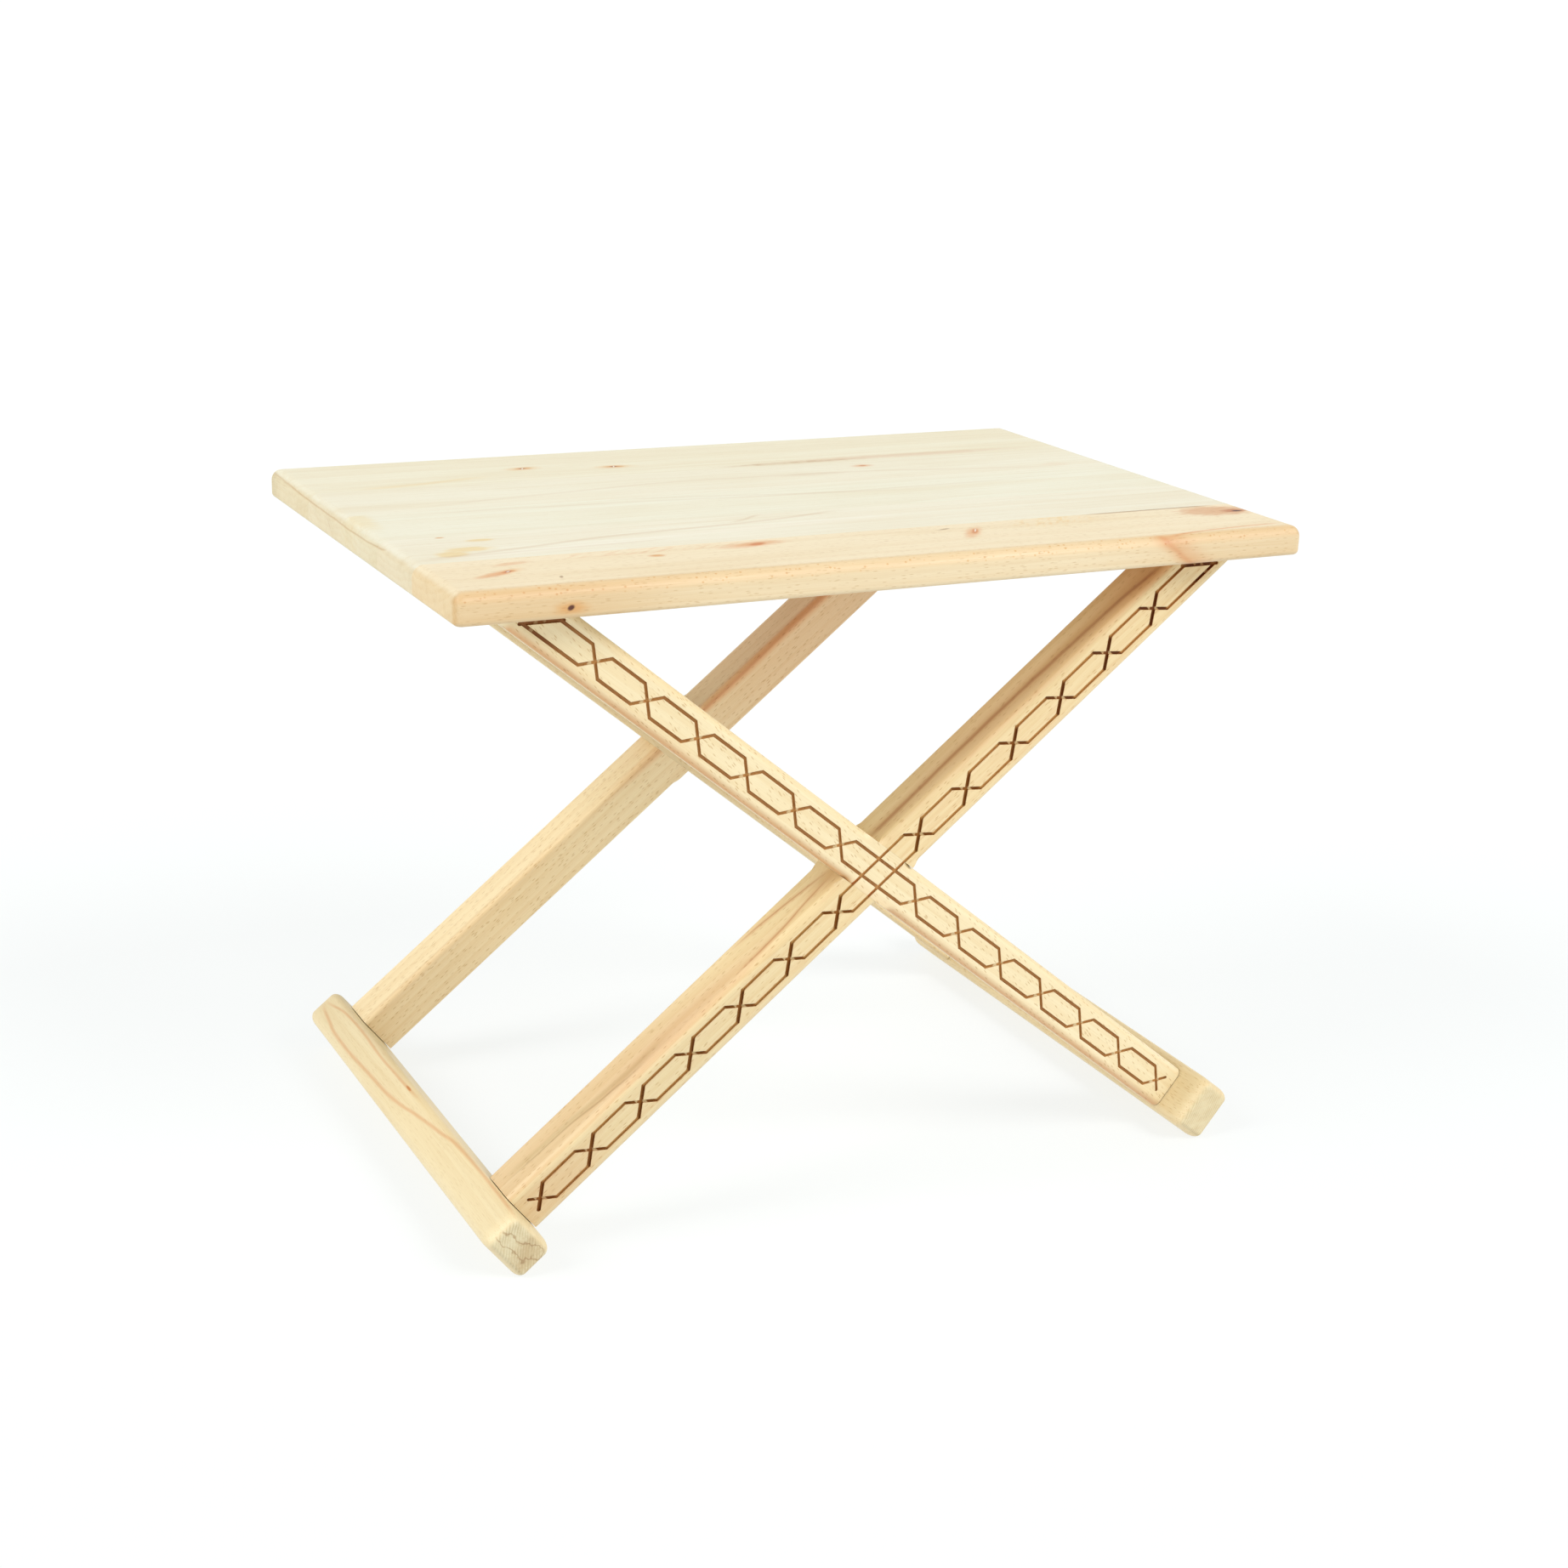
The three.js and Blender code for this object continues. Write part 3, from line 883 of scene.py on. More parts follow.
def add_grain(wood, look):
    """Gives the wood its years, rays, fibres and slow changes of tone."""
    side = wood.end.flipped()
    wood.late = wood.rings(*look.pith, look.ring_spacing, look.ring_wander)
    wood.fibres = wood.noise(34, 0.55, 0.55, detail=3, seed=4.4).rise(-0.1, 0.35)
    wood.rays = wood.flecks(*look.fleck_size, look.fleck_share, look.fleck_turn) * side
    clouds = wood.noise(170, 30, 30, detail=2, seed=2.2).rise(-0.08, 0.3)
    bands = wood.noise(420, 4.2, 4.2, detail=2, seed=6.1).rise(-0.05, 0.35)
    wood.colour = (*look.colour, 1)
    wood.shade(clouds * look.cloud_strength, CLOUD_SHADE)
    wood.shade(bands * BAND_STRENGTH, FIBRE_SHADE)
    wood.shade(wood.late * look.ring_strength, LATE_WOOD_SHADE)
    wood.shade(wood.fibres * FIBRE_STRENGTH, FIBRE_SHADE)
    wood.shade(wood.rays * look.fleck_strength, FLECK_SHADE)


def add_end_grain(wood, look):
    """Greys the ends and draws the fine years, and on some a few crooked brown lines."""
    years = wood.rings(*look.end_pith, look.end_spacing, look.end_wander, seed=2.6)
    blotches = wood.noise(60, 10, 10, detail=2, seed=7.7)
    pores = wood.noise(30, 0.4, 0.4, detail=1, seed=9.4).rise(0.08, 0.25)
    crooked = abs(wood.noise(60, 19, 19, detail=3, seed=4.9) - 0.03).rise(0.025, 0.0)
    shown = wood.end * look.end_strength
    wood.shade(shown, END_GRAIN_SHADE)
    wood.shade(shown * years * blotches.rise(-0.3, 0.2) * 0.9, END_RING_SHADE)
    wood.shade(shown * blotches.rise(0.0, 0.3) * 0.3, END_RING_SHADE)
    wood.shade(wood.end * crooked * look.end_cracks, CRACK_SHADE)
    wood.shade(shown * pores * 0.3, PORE_SHADE)


# ---------------------------------------------------------------- marks in the wood

KNOT_HALO = (0.95, 0.72, 0.48)
KNOT_RING = (0.82, 0.50, 0.26)
KNOT_CORE = (0.50, 0.28, 0.16)
BROWN_STREAK = (0.80, 0.66, 0.54)
PINK_STREAK = (0.90, 0.76, 0.70)
ORANGE_STAIN = (0.98, 0.84, 0.58)
RED_STAIN = (0.90, 0.62, 0.46)
DARK_LINE = (0.55, 0.45, 0.36)
GREY_STREAK = (0.84, 0.82, 0.74)
# A warm tone for edges; on the top's front rounding it serves as painted shade.
EDGE_WARMTH_AND_PAINTED_SHADE = (0.91, 0.82, 0.71)
WARM_END = (0.97, 0.88, 0.74)
PALE_WOOD = (0.80, 0.76, 0.66)
HEART_PATCH = (0.84, 0.62, 0.50)
HEART_CENTRE = (0.74, 0.48, 0.34)
NEAR_BLACK = (0.15, 0.10, 0.10)
PIN_KNOT = (0.14, 0.05, 0.02)
RAY_ORANGE = (0.86, 0.62, 0.38)
OPEN_JOINT_SHADE = (0.50, 0.34, 0.24)


def knot(wood, plane, centre, sizes, turn, slash_turn):
    """A small knot: a brown halo along the grain, a dark core and a bright torn slash."""
    length, width = sizes
    halo = (length * 1.8, width * 1.4)
    ring = (length, width * 0.9)
    core = (length * 0.4, width * 0.5)
    wood.patch(plane, centre, halo, KNOT_HALO, turn, 0.8, soft=1.6, rough=0.5)
    wood.patch(plane, centre, ring, KNOT_RING, turn, 0.8, soft=1.1, rough=0.9)
    wood.patch(plane, centre, core, KNOT_CORE, turn, soft=0.9, rough=0.5)
    slash = wood.spot(plane, centre, (width * 0.75, 0.5), slash_turn, soft=0.8)
    wood.blend(slash * 0.8, PALE_WOOD)


def rear_stave_marks(wood, plan):
    faint = [(-245, 94), (-200, 99), (-165, 107), (-140, 110)]
    wood.streak(wood.across, faint, 5, 30, ORANGE_STAIN, 0.55)
    wood.patch(plan, (58, 96), (46, 3), BROWN_STREAK, strength=0.6)
    wood.dashes(plan, (58, 96), (44, 3.6), (9, 1.8, -0.5), BROWN_STREAK, 1.0)
    wood.patch(plan, (145, 99), (80, 5), PINK_STREAK, strength=0.8)
    knot(wood, plan, (-118, 128.5), (5.5, 2.9), 0.1, 1.2)
    knot(wood, plan, (-59, 118), (6, 3), -0.05, 1.15)


def inner_rear_stave_marks(wood, plan):
    arch = [(-230, 32), (-120, 50), (-20, 60), (60, 58), (160, 44), (240, 30)]
    wood.streak(wood.across, arch, 3.5, 60, BROWN_STREAK, 0.3, 3)
    wood.patch(plan, (57, 57), (22, 5), BROWN_STREAK, strength=0.28)
    wood.patch(plan, (228, 40), (10, 5), RED_STAIN, strength=0.18)
    wood.patch(plan, (100, 73), (6.5, 3.2), RED_STAIN, soft=1.4)
    wood.patch(plan, (100, 73), (2.4, 1.3), KNOT_RING)


def middle_stave_marks(wood, plan):
    low_arch = [(-250, 16), (-150, 14), (-60, 8), (40, 1), (120, 2), (200, 8)]
    high_arch = [(-120, 22), (-60, 16), (0, 6), (60, -2), (110, -6)]
    for arch in (low_arch, high_arch):
        wood.streak(wood.across, arch, 3, 60, BROWN_STREAK, 0.3, 3)
    wood.patch(plan, (-262, 12), (7, 26), ORANGE_STAIN, strength=0.5)


def inner_front_stave_marks(wood, plan):
    upper = [(-266, -98), (-200, -86), (-150, -75), (-100, -69), (-50, -64), (0, -54), (23, -46)]
    lower = [(-266, -100), (-200, -93.5), (-150, -92), (-100, -90)]
    short = [(-62, -62), (-48, -56), (-38, -49), (-28, -45)]
    curves = [(upper, 3.4, 26, 0.5), (lower, 2.6, 40, 0.4), (short, 3, 12, 0.5)]
    for points, width, fade, strength in curves:
        wood.streak(wood.across, points, width, fade, BROWN_STREAK, strength, 1.5)
    inside = [(-262, -104), (-150, -88), (-40, -77), (60, -72)]
    paler = wood.line(wood.along, wood.across, inside, 9, 40) * 0.25
    wood.blend(paler, PALE_WOOD)
    for centre, sizes in (((-215, -60), (8, 3)), ((-228, -80), (13, 5)), ((-241, -89), (9, 6))):
        wood.patch(plan, centre, sizes, ORANGE_STAIN, soft=0.8)
    wood.patch(plan, (-234, -47.5), (2.6, 1.2), KNOT_RING)


def front_stave_marks(wood, plan):
    edge = wood.vector(wood.along, wood.depth, 0)
    on_edge = wood.across.rise(-170, -175)
    on_top = on_edge.flipped()
    # The big brown heart patch by the right end, with its almost black core.
    wood.patch(plan, (243, -123), (24, 12), HEART_PATCH, -0.12, on_top, soft=0.6, rough=0.9)
    wood.dashes(plan, (243, -123), (23, 11), (18, 1.6, -0.1), KNOT_RING, 0.4)
    wood.patch(plan, (255, -126), (8, 4), HEART_CENTRE)
    wood.patch(plan, (256, -127), (3.2, 2), NEAR_BLACK)
    # Small knots, torn spots and stains along the stave.
    wood.patch(plan, (-235, -141), (11, 3.4), RED_STAIN, 0.45, soft=1.2)
    knot(wood, plan, (-226, -137), (4.4, 2.4), 0.5, 0.75)
    wood.patch(plan, (-218, -120), (10, 3), RED_STAIN, 0.2, 0.6)
    wood.patch(plan, (-135, -127), (4, 2.3), KNOT_RING, soft=1.4)
    wood.patch(plan, (-72, -118), (17, 5), RED_STAIN, 0.15, soft=1.4)
    wood.patch(plan, (-69, -118), (6, 2.6), KNOT_RING, 0.3)
    wood.patch(plan, (54, -117), (4, 1.1), DARK_LINE, 0.3)
    wood.patch(plan, (66, -130), (13, 4), RED_STAIN, 0.9, soft=1.3)
    wood.patch(plan, (69, -127), (6, 1.8), KNOT_RING, 0.95)
    slash = wood.spot(plan, (70, -125.5), (4, 0.5), 0.95, soft=0.8)
    wood.blend(slash * 0.8, PALE_WOOD)
    wood.dashes(plan, (-130, -114), (60, 6), (14, 2.4, 0.5), RED_STAIN, 0.5)
    wood.dashes(plan, (130, -118), (26, 10), (9, 3, 0.9), ORANGE_STAIN, 0.7)
    wood.patch(plan, (-203, -157), (2.4, 0.9), DARK_LINE, 1.2)
    sweep = [(170, -175), (190, -171), (225, -167), (266, -165)]
    wood.streak(wood.across, sweep, 2.2, 20, RED_STAIN, wander=1)
    joint = wood.across.rise(seams[0] - 3.5, seams[0] - 0.8) * on_top
    opened = wood.along.rise(150, 172) * wood.along.rise(256, 236)
    wood.shade(joint * opened * 0.8, OPEN_JOINT_SHADE)
    # The front edge: a pin knot and a curved stain.
    pin = (-206, -12)
    wood.patch(edge, pin, (8, 3), KNOT_HALO, 0, on_edge, soft=1.4, rough=0.5)
    wood.patch(edge, pin, (2.0, 1.4), PIN_KNOT, 0.4, on_edge, soft=0.8, rough=0.5)
    arc = [(0, 168), (-2, 171), (-6, 174), (-10, 179), (-14, 184), (-18, 190)]
    beside = wood.along - wood.depth.follow(arc) + wood.wobble * 8
    swirl = beside.rise(-12, 0) * beside.rise(26, 0) * on_edge
    wood.shade(swirl * 0.7, RED_STAIN)
    wood.shade(abs(beside).rise(5, 0) * on_edge * 0.45, RED_STAIN)
    # The edge is warmest at its ends. The rounding gets painted shade, as the lamps fall on it more
    # directly, and shows short orange rays.
    warm = (wood.along.rise(-110, -210) + wood.along.rise(110, 210) * 0.6) * on_edge
    wood.shade(on_edge * 0.3, EDGE_WARMTH_AND_PAINTED_SHADE)
    wood.shade(warm, EDGE_WARMTH_AND_PAINTED_SHADE)
    rounding = wood.across.rise(-168, -172.5) * wood.depth.rise(-7, -4)
    # Painted shade on the rounding.
    wood.shade(rounding * 0.8, EDGE_WARMTH_AND_PAINTED_SHADE)
    rays = wood.flecks(3.0, 2.4, 0.5, seed=6.6)
    wood.shade(rays * rounding * 0.8, RAY_ORANGE)


# ---------------------------------------------------------------- materials of the top

STAVE_LOOKS = {
    "top_stave_front": Look(tint(225, 210, 178), pith=(-120, 90), ring_spacing=5, seed=1.0),
    "top_stave_inner_front": Look(tint(222, 217, 197), pith=(-70, 130), seed=2.0),
    "top_stave_middle": Look(tint(221, 218, 198), pith=(-20, 110), seed=3.0),
    "top_stave_inner_rear": Look(tint(221, 216, 195), pith=(60, 150), seed=4.0),
    "top_stave_rear": Look(tint(220, 214, 190), pith=(150, 120), seed=5.0),
}
for stave_look in STAVE_LOOKS.values():
    stave_look.ring_strength = 0.3
    stave_look.fleck_strength = 0.15
    stave_look.end_strength = 0.4
STAVE_LOOKS["top_stave_front"].fleck_strength = 0.5
STAVE_MARKS = {
    "top_stave_front": front_stave_marks,
    "top_stave_inner_front": inner_front_stave_marks,
    "top_stave_middle": middle_stave_marks,
    "top_stave_inner_rear": inner_rear_stave_marks,
    "top_stave_rear": rear_stave_marks,
}
TOP_AXES = [(1, 0, 0), (0, 1, 0), (0, 0, 1)]


def top_end_marks(wood):
    """A thin brown line that wanders along the left end, with a branch, and a grey corner."""
    left_end = wood.end * wood.along.rise(-266, -269)
    wander = [(-60, -1), (0, -4.6), (50, -4.2), (78, -4.2), (131, -3.2), (178, -2)]
    branch = [(38, -17), (41, -15), (48, -9), (55, -4)]
    for points, width in ((wander, 0.8), (branch, 0.6)):
        mask = wood.line(wood.across, wood.depth, points, width, 6, 1) * left_end
        wood.shade(mask * 0.8, BROWN_STREAK)
    wood.shade(left_end, WARM_END)
    wood.shade(wood.across.rise(150, 176) * left_end * 0.7, GREY_STREAK)


def stave_material(name):
    look = STAVE_LOOKS[name]
    wood = Beech(name + "_beech", (0, 0, top_high[2]), TOP_AXES, look.seed)
    add_grain(wood, look)
    plan = wood.vector(wood.along + wood.wobble * 4, wood.across + wood.wobble * 1.5, 0)
    STAVE_MARKS[name](wood, plan)
    add_end_grain(wood, look)
    top_end_marks(wood)
    return wood.lacquer()


# ---------------------------------------------------------------- materials of the legs

LEG_LOOKS = {
    "front_rising": Look(
        tint(225, 203, 157), pith=(90, 60), ring_spacing=5.5, fleck_share=0.55, seed=11.0
    ),
    "front_falling": Look(
        tint(231, 215, 176), pith=(-60, 90), ring_spacing=6, fleck_turn=-0.22, seed=12.0
    ),
    "rear_rising": Look(tint(234, 214, 172), pith=(80, 90), ring_spacing=6, seed=13.0),
    "rear_falling": Look(
        tint(226, 206, 164), pith=(-80, 90), ring_spacing=6, fleck_strength=0.6, seed=14.0
    ),
}
# The wood in the grooves is browner, partly burnt and partly with painted shade as in a deep narrow
# cut. On one leg of each frame the short slanting cuts get darker painted shade than the long ones,
# and darker still towards the top. On the other leg all the cuts get one painted shade.
GROOVE_BURN_AND_PAINTED_SHADE = (0.72, 0.52, 0.30)
SHORT_CUT_PAINTED_SHADE = (0.50, 0.32, 0.13)
EVEN_CUT_PAINTED_SHADE = (0.88, 0.73, 0.64)
UPPER_CUT_PAINTED_SHADOW = (0.62, 0.46, 0.34)
GROOVE_SHINE = 0.15
# The slow changes of tone along the legs, towards one end or the other. Some of them are painted
# shade.
PINK_UPPER_SIDE = (1.0, 0.90, 0.87)
UPPER_END_BROWN_AND_PAINTED_SHADE = (0.97, 0.80, 0.70)
PINK_LOWER_SIDE = (1.0, 0.92, 0.90)
PAINTED_SHADE_LOWER_LEG = (0.87, 0.90, 0.93)
PINK_UPPER_LEG = (1.0, 0.90, 0.88)
PAINTED_SHADE_UPPER_INSIDE = (0.90, 0.86, 0.86)
DIM_LOWER_INSIDE = (0.93, 0.90, 0.86)
HEART_LINE = (0.66, 0.46, 0.33)
FINE_GREY = (0.74, 0.68, 0.58)


def heartwood_streaks(wood):
    """Brown heartwood and grey lines down the upper side of the front rising leg, whose upper end
    is browner, partly heartwood and partly painted shade under the board.
    """
    side = wood.facing_across.rise(0.3, 0.8)
    heart = [(4, 12), (60, 13.5), (130, 14), (180, 12.5), (225, 9.5), (262, 6)]
    wood.shade(side * wood.along.rise(0, 120), PINK_UPPER_SIDE)
    # Browner towards the upper end: partly heartwood, partly painted shade under the board.
    wood.shade(side * wood.along.rise(180, 270), UPPER_END_BROWN_AND_PAINTED_SHADE)
    grey = [(-290, 19), (-240, 16), (-200, 11), (-150, 8.5)]
    fine = [(-290, 15), (-240, 13), (-200, 7.5), (-170, 6)]
    upper = [(-100, 28.5), (-70, 25.5), (-40, 21.5), (-12, 16)]
    lower = [(-110, 4), (-70, 6), (-40, 10), (-12, 13)]
    curves = [
        (heart, 10, 20, BROWN_STREAK, 0.8, 5),
        (heart, 3.2, 20, HEART_LINE, 0.85, 5),
        (grey, 4.5, 30, GREY_STREAK, 1, 6),
        (fine, 1.6, 30, FINE_GREY, 1, 6),
        (upper, 3.4, 30, PINK_STREAK, 1, 4),
        (upper, 1.2, 30, BROWN_STREAK, 1, 4),
        (lower, 3.4, 30, PINK_STREAK, 1, 4),
        (lower, 1.2, 30, BROWN_STREAK, 1, 4),
    ]
    for points, width, fade, shade, strength, wander in curves:
        wood.streak(wood.depth, points, width, fade, shade, side * strength, wander)
    plane = wood.vector(wood.along, wood.depth, 0)
    wood.patch(plane, (-14, 12), (22, 9), BROWN_STREAK, 0, side * 0.8, soft=1.4, rough=0.5)
    wood.patch(plane, (-140, 8), (60, 9), PINK_STREAK, 0, side * 0.7, soft=1.4, rough=0.5)
    wood.shade(side * wood.along.rise(-60, -200), PINK_LOWER_SIDE)


def rising_leg_marks(wood):
    heartwood_streaks(wood)
    plane = wood.vector(wood.along, wood.across, 0)
    # Painted shade, darker towards the lower end of the leg.
    wood.shade(wood.along.rise(20, -180) * 0.8, PAINTED_SHADE_LOWER_LEG)
    front = wood.depth.rise(4, 2)
    seam = abs(wood.noise(90, 8, 8, seed=21)).rise(0.05, 0.0)
    wood.shade(seam * front * 0.25, PINK_STREAK)
    wood.patch(plane, (-262, -2), (30, 12), PINK_STREAK, 0, front * 0.6, soft=1.4, rough=0.5)


def falling_leg_marks(wood):
    """A pinkish line along the lower rounded edge."""
    rounding = wood.line(wood.along, wood.depth, [(-290, 2.5), (290, 2.5)], 3.6, 5, 1.5)
    below = wood.across.rise(8, 12)
    wood.shade(rounding * below * 0.7, EDGE_WARMTH_AND_PAINTED_SHADE)
    wood.shade(rounding * below * 0.9, RED_STAIN)


def rear_rising_leg_marks(wood):
    """A brown streak along one edge of the face turned inwards, a pink upper half, and painted
    shade on the inner face towards the board.
    """
    inner = wood.depth.rise(LEG_DEPTH - 6, LEG_DEPTH - 2)
    edge = [(-290, -12), (-150, -12.5), (0, -12), (150, -12.5), (290, -12)]
    upper = wood.along.rise(-90, 40)
    broad = inner * (upper * 0.75 + 0.1)
    narrow = inner * (upper * 0.7 + 0.15)
    wood.streak(wood.across, edge, 5.5, 20, RED_STAIN, broad, 3)
    wood.streak(wood.across, edge, 2.2, 20, BROWN_STREAK, narrow, 3)
    on_side = wood.facing_across.rise(-0.3, -0.8)
    wood.shade(on_side * wood.along.rise(0, 160) * 0.8, PINK_STREAK)
    wood.shade(wood.along.rise(-60, 90), PINK_UPPER_LEG)
    # Painted shade on the inner face towards the board.
    wood.shade(inner * wood.along.rise(20, 200), PAINTED_SHADE_UPPER_INSIDE)
    wood.shade(inner * wood.along.rise(-60, -220), DIM_LOWER_INSIDE)


def rear_falling_leg_marks(wood):
    faint = [(-290, -9), (-120, -4), (60, -6), (290, 2)]
    wood.streak(wood.across, faint, 2.4, 30, BROWN_STREAK, 0.5, 4)


LEG_MARKS = {
    "front_rising": rising_leg_marks,
    "front_falling": falling_leg_marks,
    "rear_rising": rear_rising_leg_marks,
    "rear_falling": rear_falling_leg_marks,
}


# How far from a cross, along the leg, the painted shade of the short cuts and the painted lit gap
# fade out and in.
SHORT_CUT_REACH = (8.5, 6.5)
PAINTED_LIT_GAP_REACH = (3.0, 2.2)
# How clearly a place beside a cross has to lie on the level cut to stay pale, as painted light.
LEVEL_SLANT = (-0.6, -2.0)
# Between which depths the first brown, part burn and part painted shade, and the second, darker
# painted shade come in.
GROOVE_BURN_AND_SHADE_DEPTH = (0.0, 1.0)
CUT_PAINTED_SHADE_DEPTH = (0.1, 0.8)
# Where, going up the leg, the short cuts and then the closing end get their darkest painted shadow,
# under the board.
UPPER_CUTS = (60, 230)
CLOSING_END = (250, 268)


def groove_marks(wood, lean):
    """Browns the grooves with depth, part burn and part painted shade, and leaves the level cut
    pale at each cross as painted light.
    """
    uneven = wood.depth + wood.jitter * 0.5
    outward = wood.along.rise(-0.5, 0.5) * 2 - 1
    turns = (abs(wood.along) - CROSS_CENTRAL_GAP / 2) / CROSS_PITCH + 0.5
    past_cross = (turns.fraction() - 0.5) * CROSS_PITCH * outward
    near_cross = abs(past_cross).rise(*SHORT_CUT_REACH)
    slant = past_cross * wood.across * lean
    # Painted light: the level cut stays pale beside each cross, as if lit through the crossing cut.
    gap = slant.rise(*LEVEL_SLANT) * abs(past_cross).rise(*PAINTED_LIT_GAP_REACH)
    shown = gap.flipped()
    # Painted shade in the grooves, over a little burn.
    wood.shade(uneven.rise(*GROOVE_BURN_AND_SHADE_DEPTH) * shown, GROOVE_BURN_AND_PAINTED_SHADE)
    deep = uneven.rise(*CUT_PAINTED_SHADE_DEPTH) * shown
    # Painted shadow of the board on the closing end, and on one leg also on the upper short cuts.
    upper = wood.along.rise(*CLOSING_END)
    # More painted shade: on the short cuts of one leg, on all the cuts of the other.
    if lean > 0:
        wood.shade(near_cross * deep, SHORT_CUT_PAINTED_SHADE)
        upper = upper.largest(near_cross * deep * wood.along.rise(*UPPER_CUTS))
    else:
        wood.shade(deep, EVEN_CUT_PAINTED_SHADE)
    wood.shade(upper, UPPER_CUT_PAINTED_SHADOW)


def leg_material(key, place, lean, is_groove):
    """The leg's beech, browned partly with painted shade, and duller, where it lies inside a
    groove.
    """
    look = LEG_LOOKS[key]
    axes = [place.col[index].xyz for index in (0, 2, 1)]
    name = f"{key}_{'groove' if is_groove else 'beech'}"
    wood = Beech(name, place.translation, axes, look.seed)
    add_grain(wood, look)
    LEG_MARKS[key](wood)
    if is_groove:
        groove_marks(wood, lean)
        shader = wood.tree.nodes["Principled BSDF"]
        feed(wood.tree, shader, {"Specular IOR Level": GROOVE_SHINE})
    else:
        add_end_grain(wood, look)
    return wood.lacquer()


# ---------------------------------------------------------------- materials of the rails

RAIL_LOOKS = {
    "left": Look(
        tint(220, 203, 162), pith=(-20, 55), ring_spacing=7, fleck_size=(10, 0.8),
        fleck_strength=0.3, end_pith=(153, -140), end_spacing=1.7, end_cracks=0.9, seed=31.0,
    ),
    "right": Look(
        tint(226, 206, 162), pith=(70, -50), fleck_size=(8, 0.9), fleck_strength=0.6,
        end_pith=(207, 48), end_wander=1.2, seed=32.0,
    ),
}
for rail_look in RAIL_LOOKS.values():
    rail_look.ring_strength = 0.3
RAIL_LINE = (0.90, 0.70, 0.60)
RAIL_END_BROWN = (0.84, 0.76, 0.68)


def left_rail_marks(wood):
    """Two brown and pink grain lines along the face that is turned up and out."""
    outer = wood.facing_depth.rise(0.2, 0.7)
    first = [
        (-30, 24), (60, 24.5), (98, 20.7), (130, 16.4), (170, 10.7),
        (213, 8.4), (270, 6.9), (299, 9.2), (330, 14),
    ]
    second = [(138, 23.5), (180, 22), (220, 21), (260, 22), (290, 21), (310, 18), (330, 14.5)]
    for points, width in ((first, 2.1), (second, 1.6)):
        wood.streak(wood.across, points, width, 25, RAIL_LINE, outer, 1.5)
    plane = wood.vector(wood.along, wood.across, 0)
    wood.patch(plane, (162.5, 22.5), (4, 0.8), KNOT_RING, 0, outer, soft=0.6, rough=0.5)
    end_face = wood.vector(wood.across, wood.depth, 0)
    wood.patch(end_face, (14, -4), (11, 7), RAIL_END_BROWN, 0.4, wood.end, soft=1.4, rough=1.6)


def rail_material(side, place):
    look = RAIL_LOOKS[side]
    outer_edge = place @ Vector((-RAIL_REACH - RAIL_THICKNESS, 0, 0))
    outer_edge.y = -OUTER_FACE
    axes = [(0, 1, 0), place.col[0].xyz, place.col[2].xyz]
    wood = Beech(f"{side}_rail_beech", outer_edge, axes, look.seed)
    add_grain(wood, look)
    if side == "left":
        left_rail_marks(wood)
    add_end_grain(wood, look)
    return wood.lacquer()


def dowel_material():
    look = Look(tint(206, 182, 138), pith=(40, 40), ring_spacing=3, seed=41.0)
    wood = Beech("dowel_beech", (0, 0, 0), [(0, 0, 1), (1, 0, 0), (0, 1, 0)], look.seed)
    add_grain(wood, look)
    add_end_grain(wood, look)
    return wood.lacquer()


# ---------------------------------------------------------------- studio


FLOOR_COLOUR = (0.18, 0.184, 0.186)
FLOOR_GLOW_COLOUR = (0.98, 1.0, 0.992)
FLOOR_GLOW = 0.765
FLOOR_ROUGHNESS = 0.7
FLOOR_SHINE = 0.2
FLOOR_RADIUS = 240
WORLD_COLOUR = (0.985, 1.0, 0.993)
# The sky is white down at the horizon and dimmer overhead.
HORIZON_STRENGTH = 1.0
OVERHEAD_STRENGTH = 0.55
HORIZON_BAND = (0.22, 0.45)
# The two lamps: the way to each, its strength and how wide it looks in the sky.
RIGHT_LAMP = ((0.65, -0.95, 1.0), 1.85)
LEFT_LAMP = ((-1.25, 0.0, 1.0), 1.7)
LAMP_WIDTH = math.radians(28)


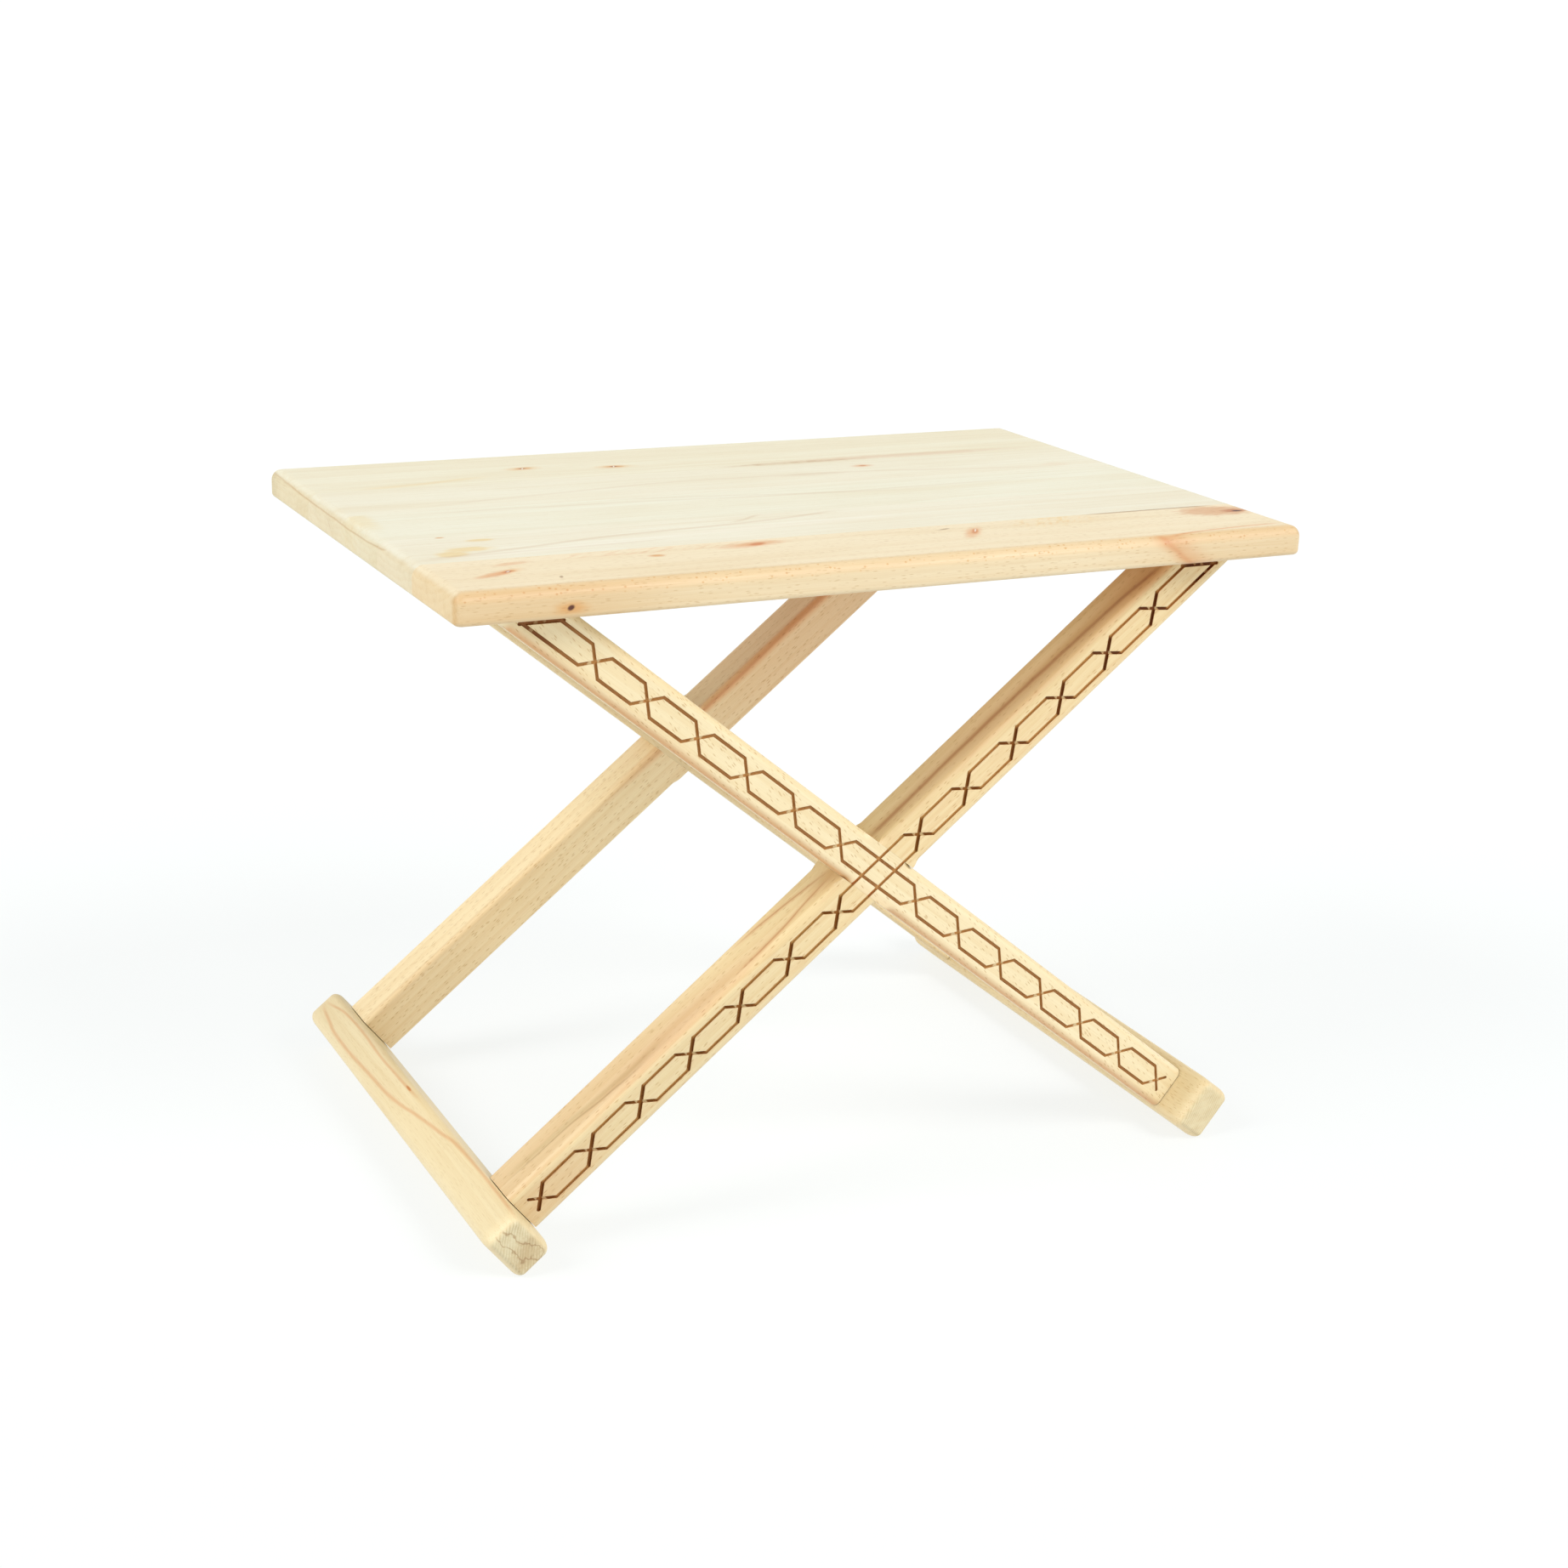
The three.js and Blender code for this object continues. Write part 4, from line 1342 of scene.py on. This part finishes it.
def add_floor():
    """A pale, faintly glowing floor that can be seen through from below."""
    mesh = bpy.data.meshes.new("floor")
    with editing(mesh) as shape:
        bmesh.ops.create_circle(shape, cap_ends=True, segments=96, radius=FLOOR_RADIUS)
    floor = new_object("floor", mesh)
    material = bpy.data.materials.new("pale_floor")
    material.use_nodes = True
    tree = material.node_tree
    shader = tree.nodes["Principled BSDF"]
    finish = {
        "Base Color": (*FLOOR_COLOUR, 1),
        "Roughness": FLOOR_ROUGHNESS,
        "Specular IOR Level": FLOOR_SHINE,
        "Emission Color": (*FLOOR_GLOW_COLOUR, 1),
        "Emission Strength": FLOOR_GLOW,
    }
    feed(tree, shader, finish)
    seen_from_below = Field(tree, add_node(tree, "NewGeometry", ()).outputs["Backfacing"])
    opaque = Field(tree, shader.outputs["BSDF"])
    clear = Field(tree, add_node(tree, "BsdfTransparent", ()).outputs["BSDF"])
    mix = add_node(tree, "MixShader", (seen_from_below, opaque, clear))
    tree.links.new(mix.outputs["Shader"], tree.nodes["Material Output"].inputs["Surface"])
    mesh.materials.append(material)


def add_world():
    world = bpy.data.worlds.new("white_studio")
    world.use_nodes = True
    tree = world.node_tree
    direction = Field(tree, add_node(tree, "TexCoord", ()).outputs["Generated"])
    parts = add_node(tree, "SeparateXYZ", (direction,))
    overhead = Field(tree, parts.outputs["Z"]).rise(*HORIZON_BAND)
    strength = overhead * (OVERHEAD_STRENGTH - HORIZON_STRENGTH) + HORIZON_STRENGTH
    background = {"Color": (*WORLD_COLOUR, 1), "Strength": strength}
    feed(tree, tree.nodes["Background"], background)
    bpy.context.scene.world = world


def add_lamp(name, towards, strength):
    light = bpy.data.lights.new(name, "SUN")
    light.energy = strength
    light.angle = LAMP_WIDTH
    lamp = new_object(name, light)
    lamp.location = towards
    lamp.rotation_mode = "QUATERNION"
    lamp.rotation_quaternion = Vector(towards).to_track_quat("Z", "Y")


def add_lights():
    """One lamp stands in front on the right, the other on the left."""
    add_lamp("right_lamp", *RIGHT_LAMP)
    add_lamp("left_lamp", *LEFT_LAMP)


# The camera stands in front and to the left, a little above the top. Its angles in degrees
# are how far it is raised from looking straight down, how far it leans, and its heading.
CAMERA_PLACE = (-0.68457, -1.37825, 0.71652)
CAMERA_ANGLES = (71.9645, -1.8146, -26.2492)
CAMERA_LENS = 57.80
CAMERA_SENSOR = 36


def add_camera():
    data = bpy.data.cameras.new("camera")
    data.lens = CAMERA_LENS
    data.sensor_width = CAMERA_SENSOR
    camera = new_object("camera", data)
    camera.location = CAMERA_PLACE
    camera.rotation_euler = [math.radians(angle) for angle in CAMERA_ANGLES]
    scene = bpy.context.scene
    scene.camera = camera
    scene.view_settings.view_transform = "Standard"
    scene.view_settings.look = "None"


# ---------------------------------------------------------------- all of it

add_camera()
add_world()
add_lights()
add_floor()

add_top()
add_legs()
add_rails()
paint_dowels()
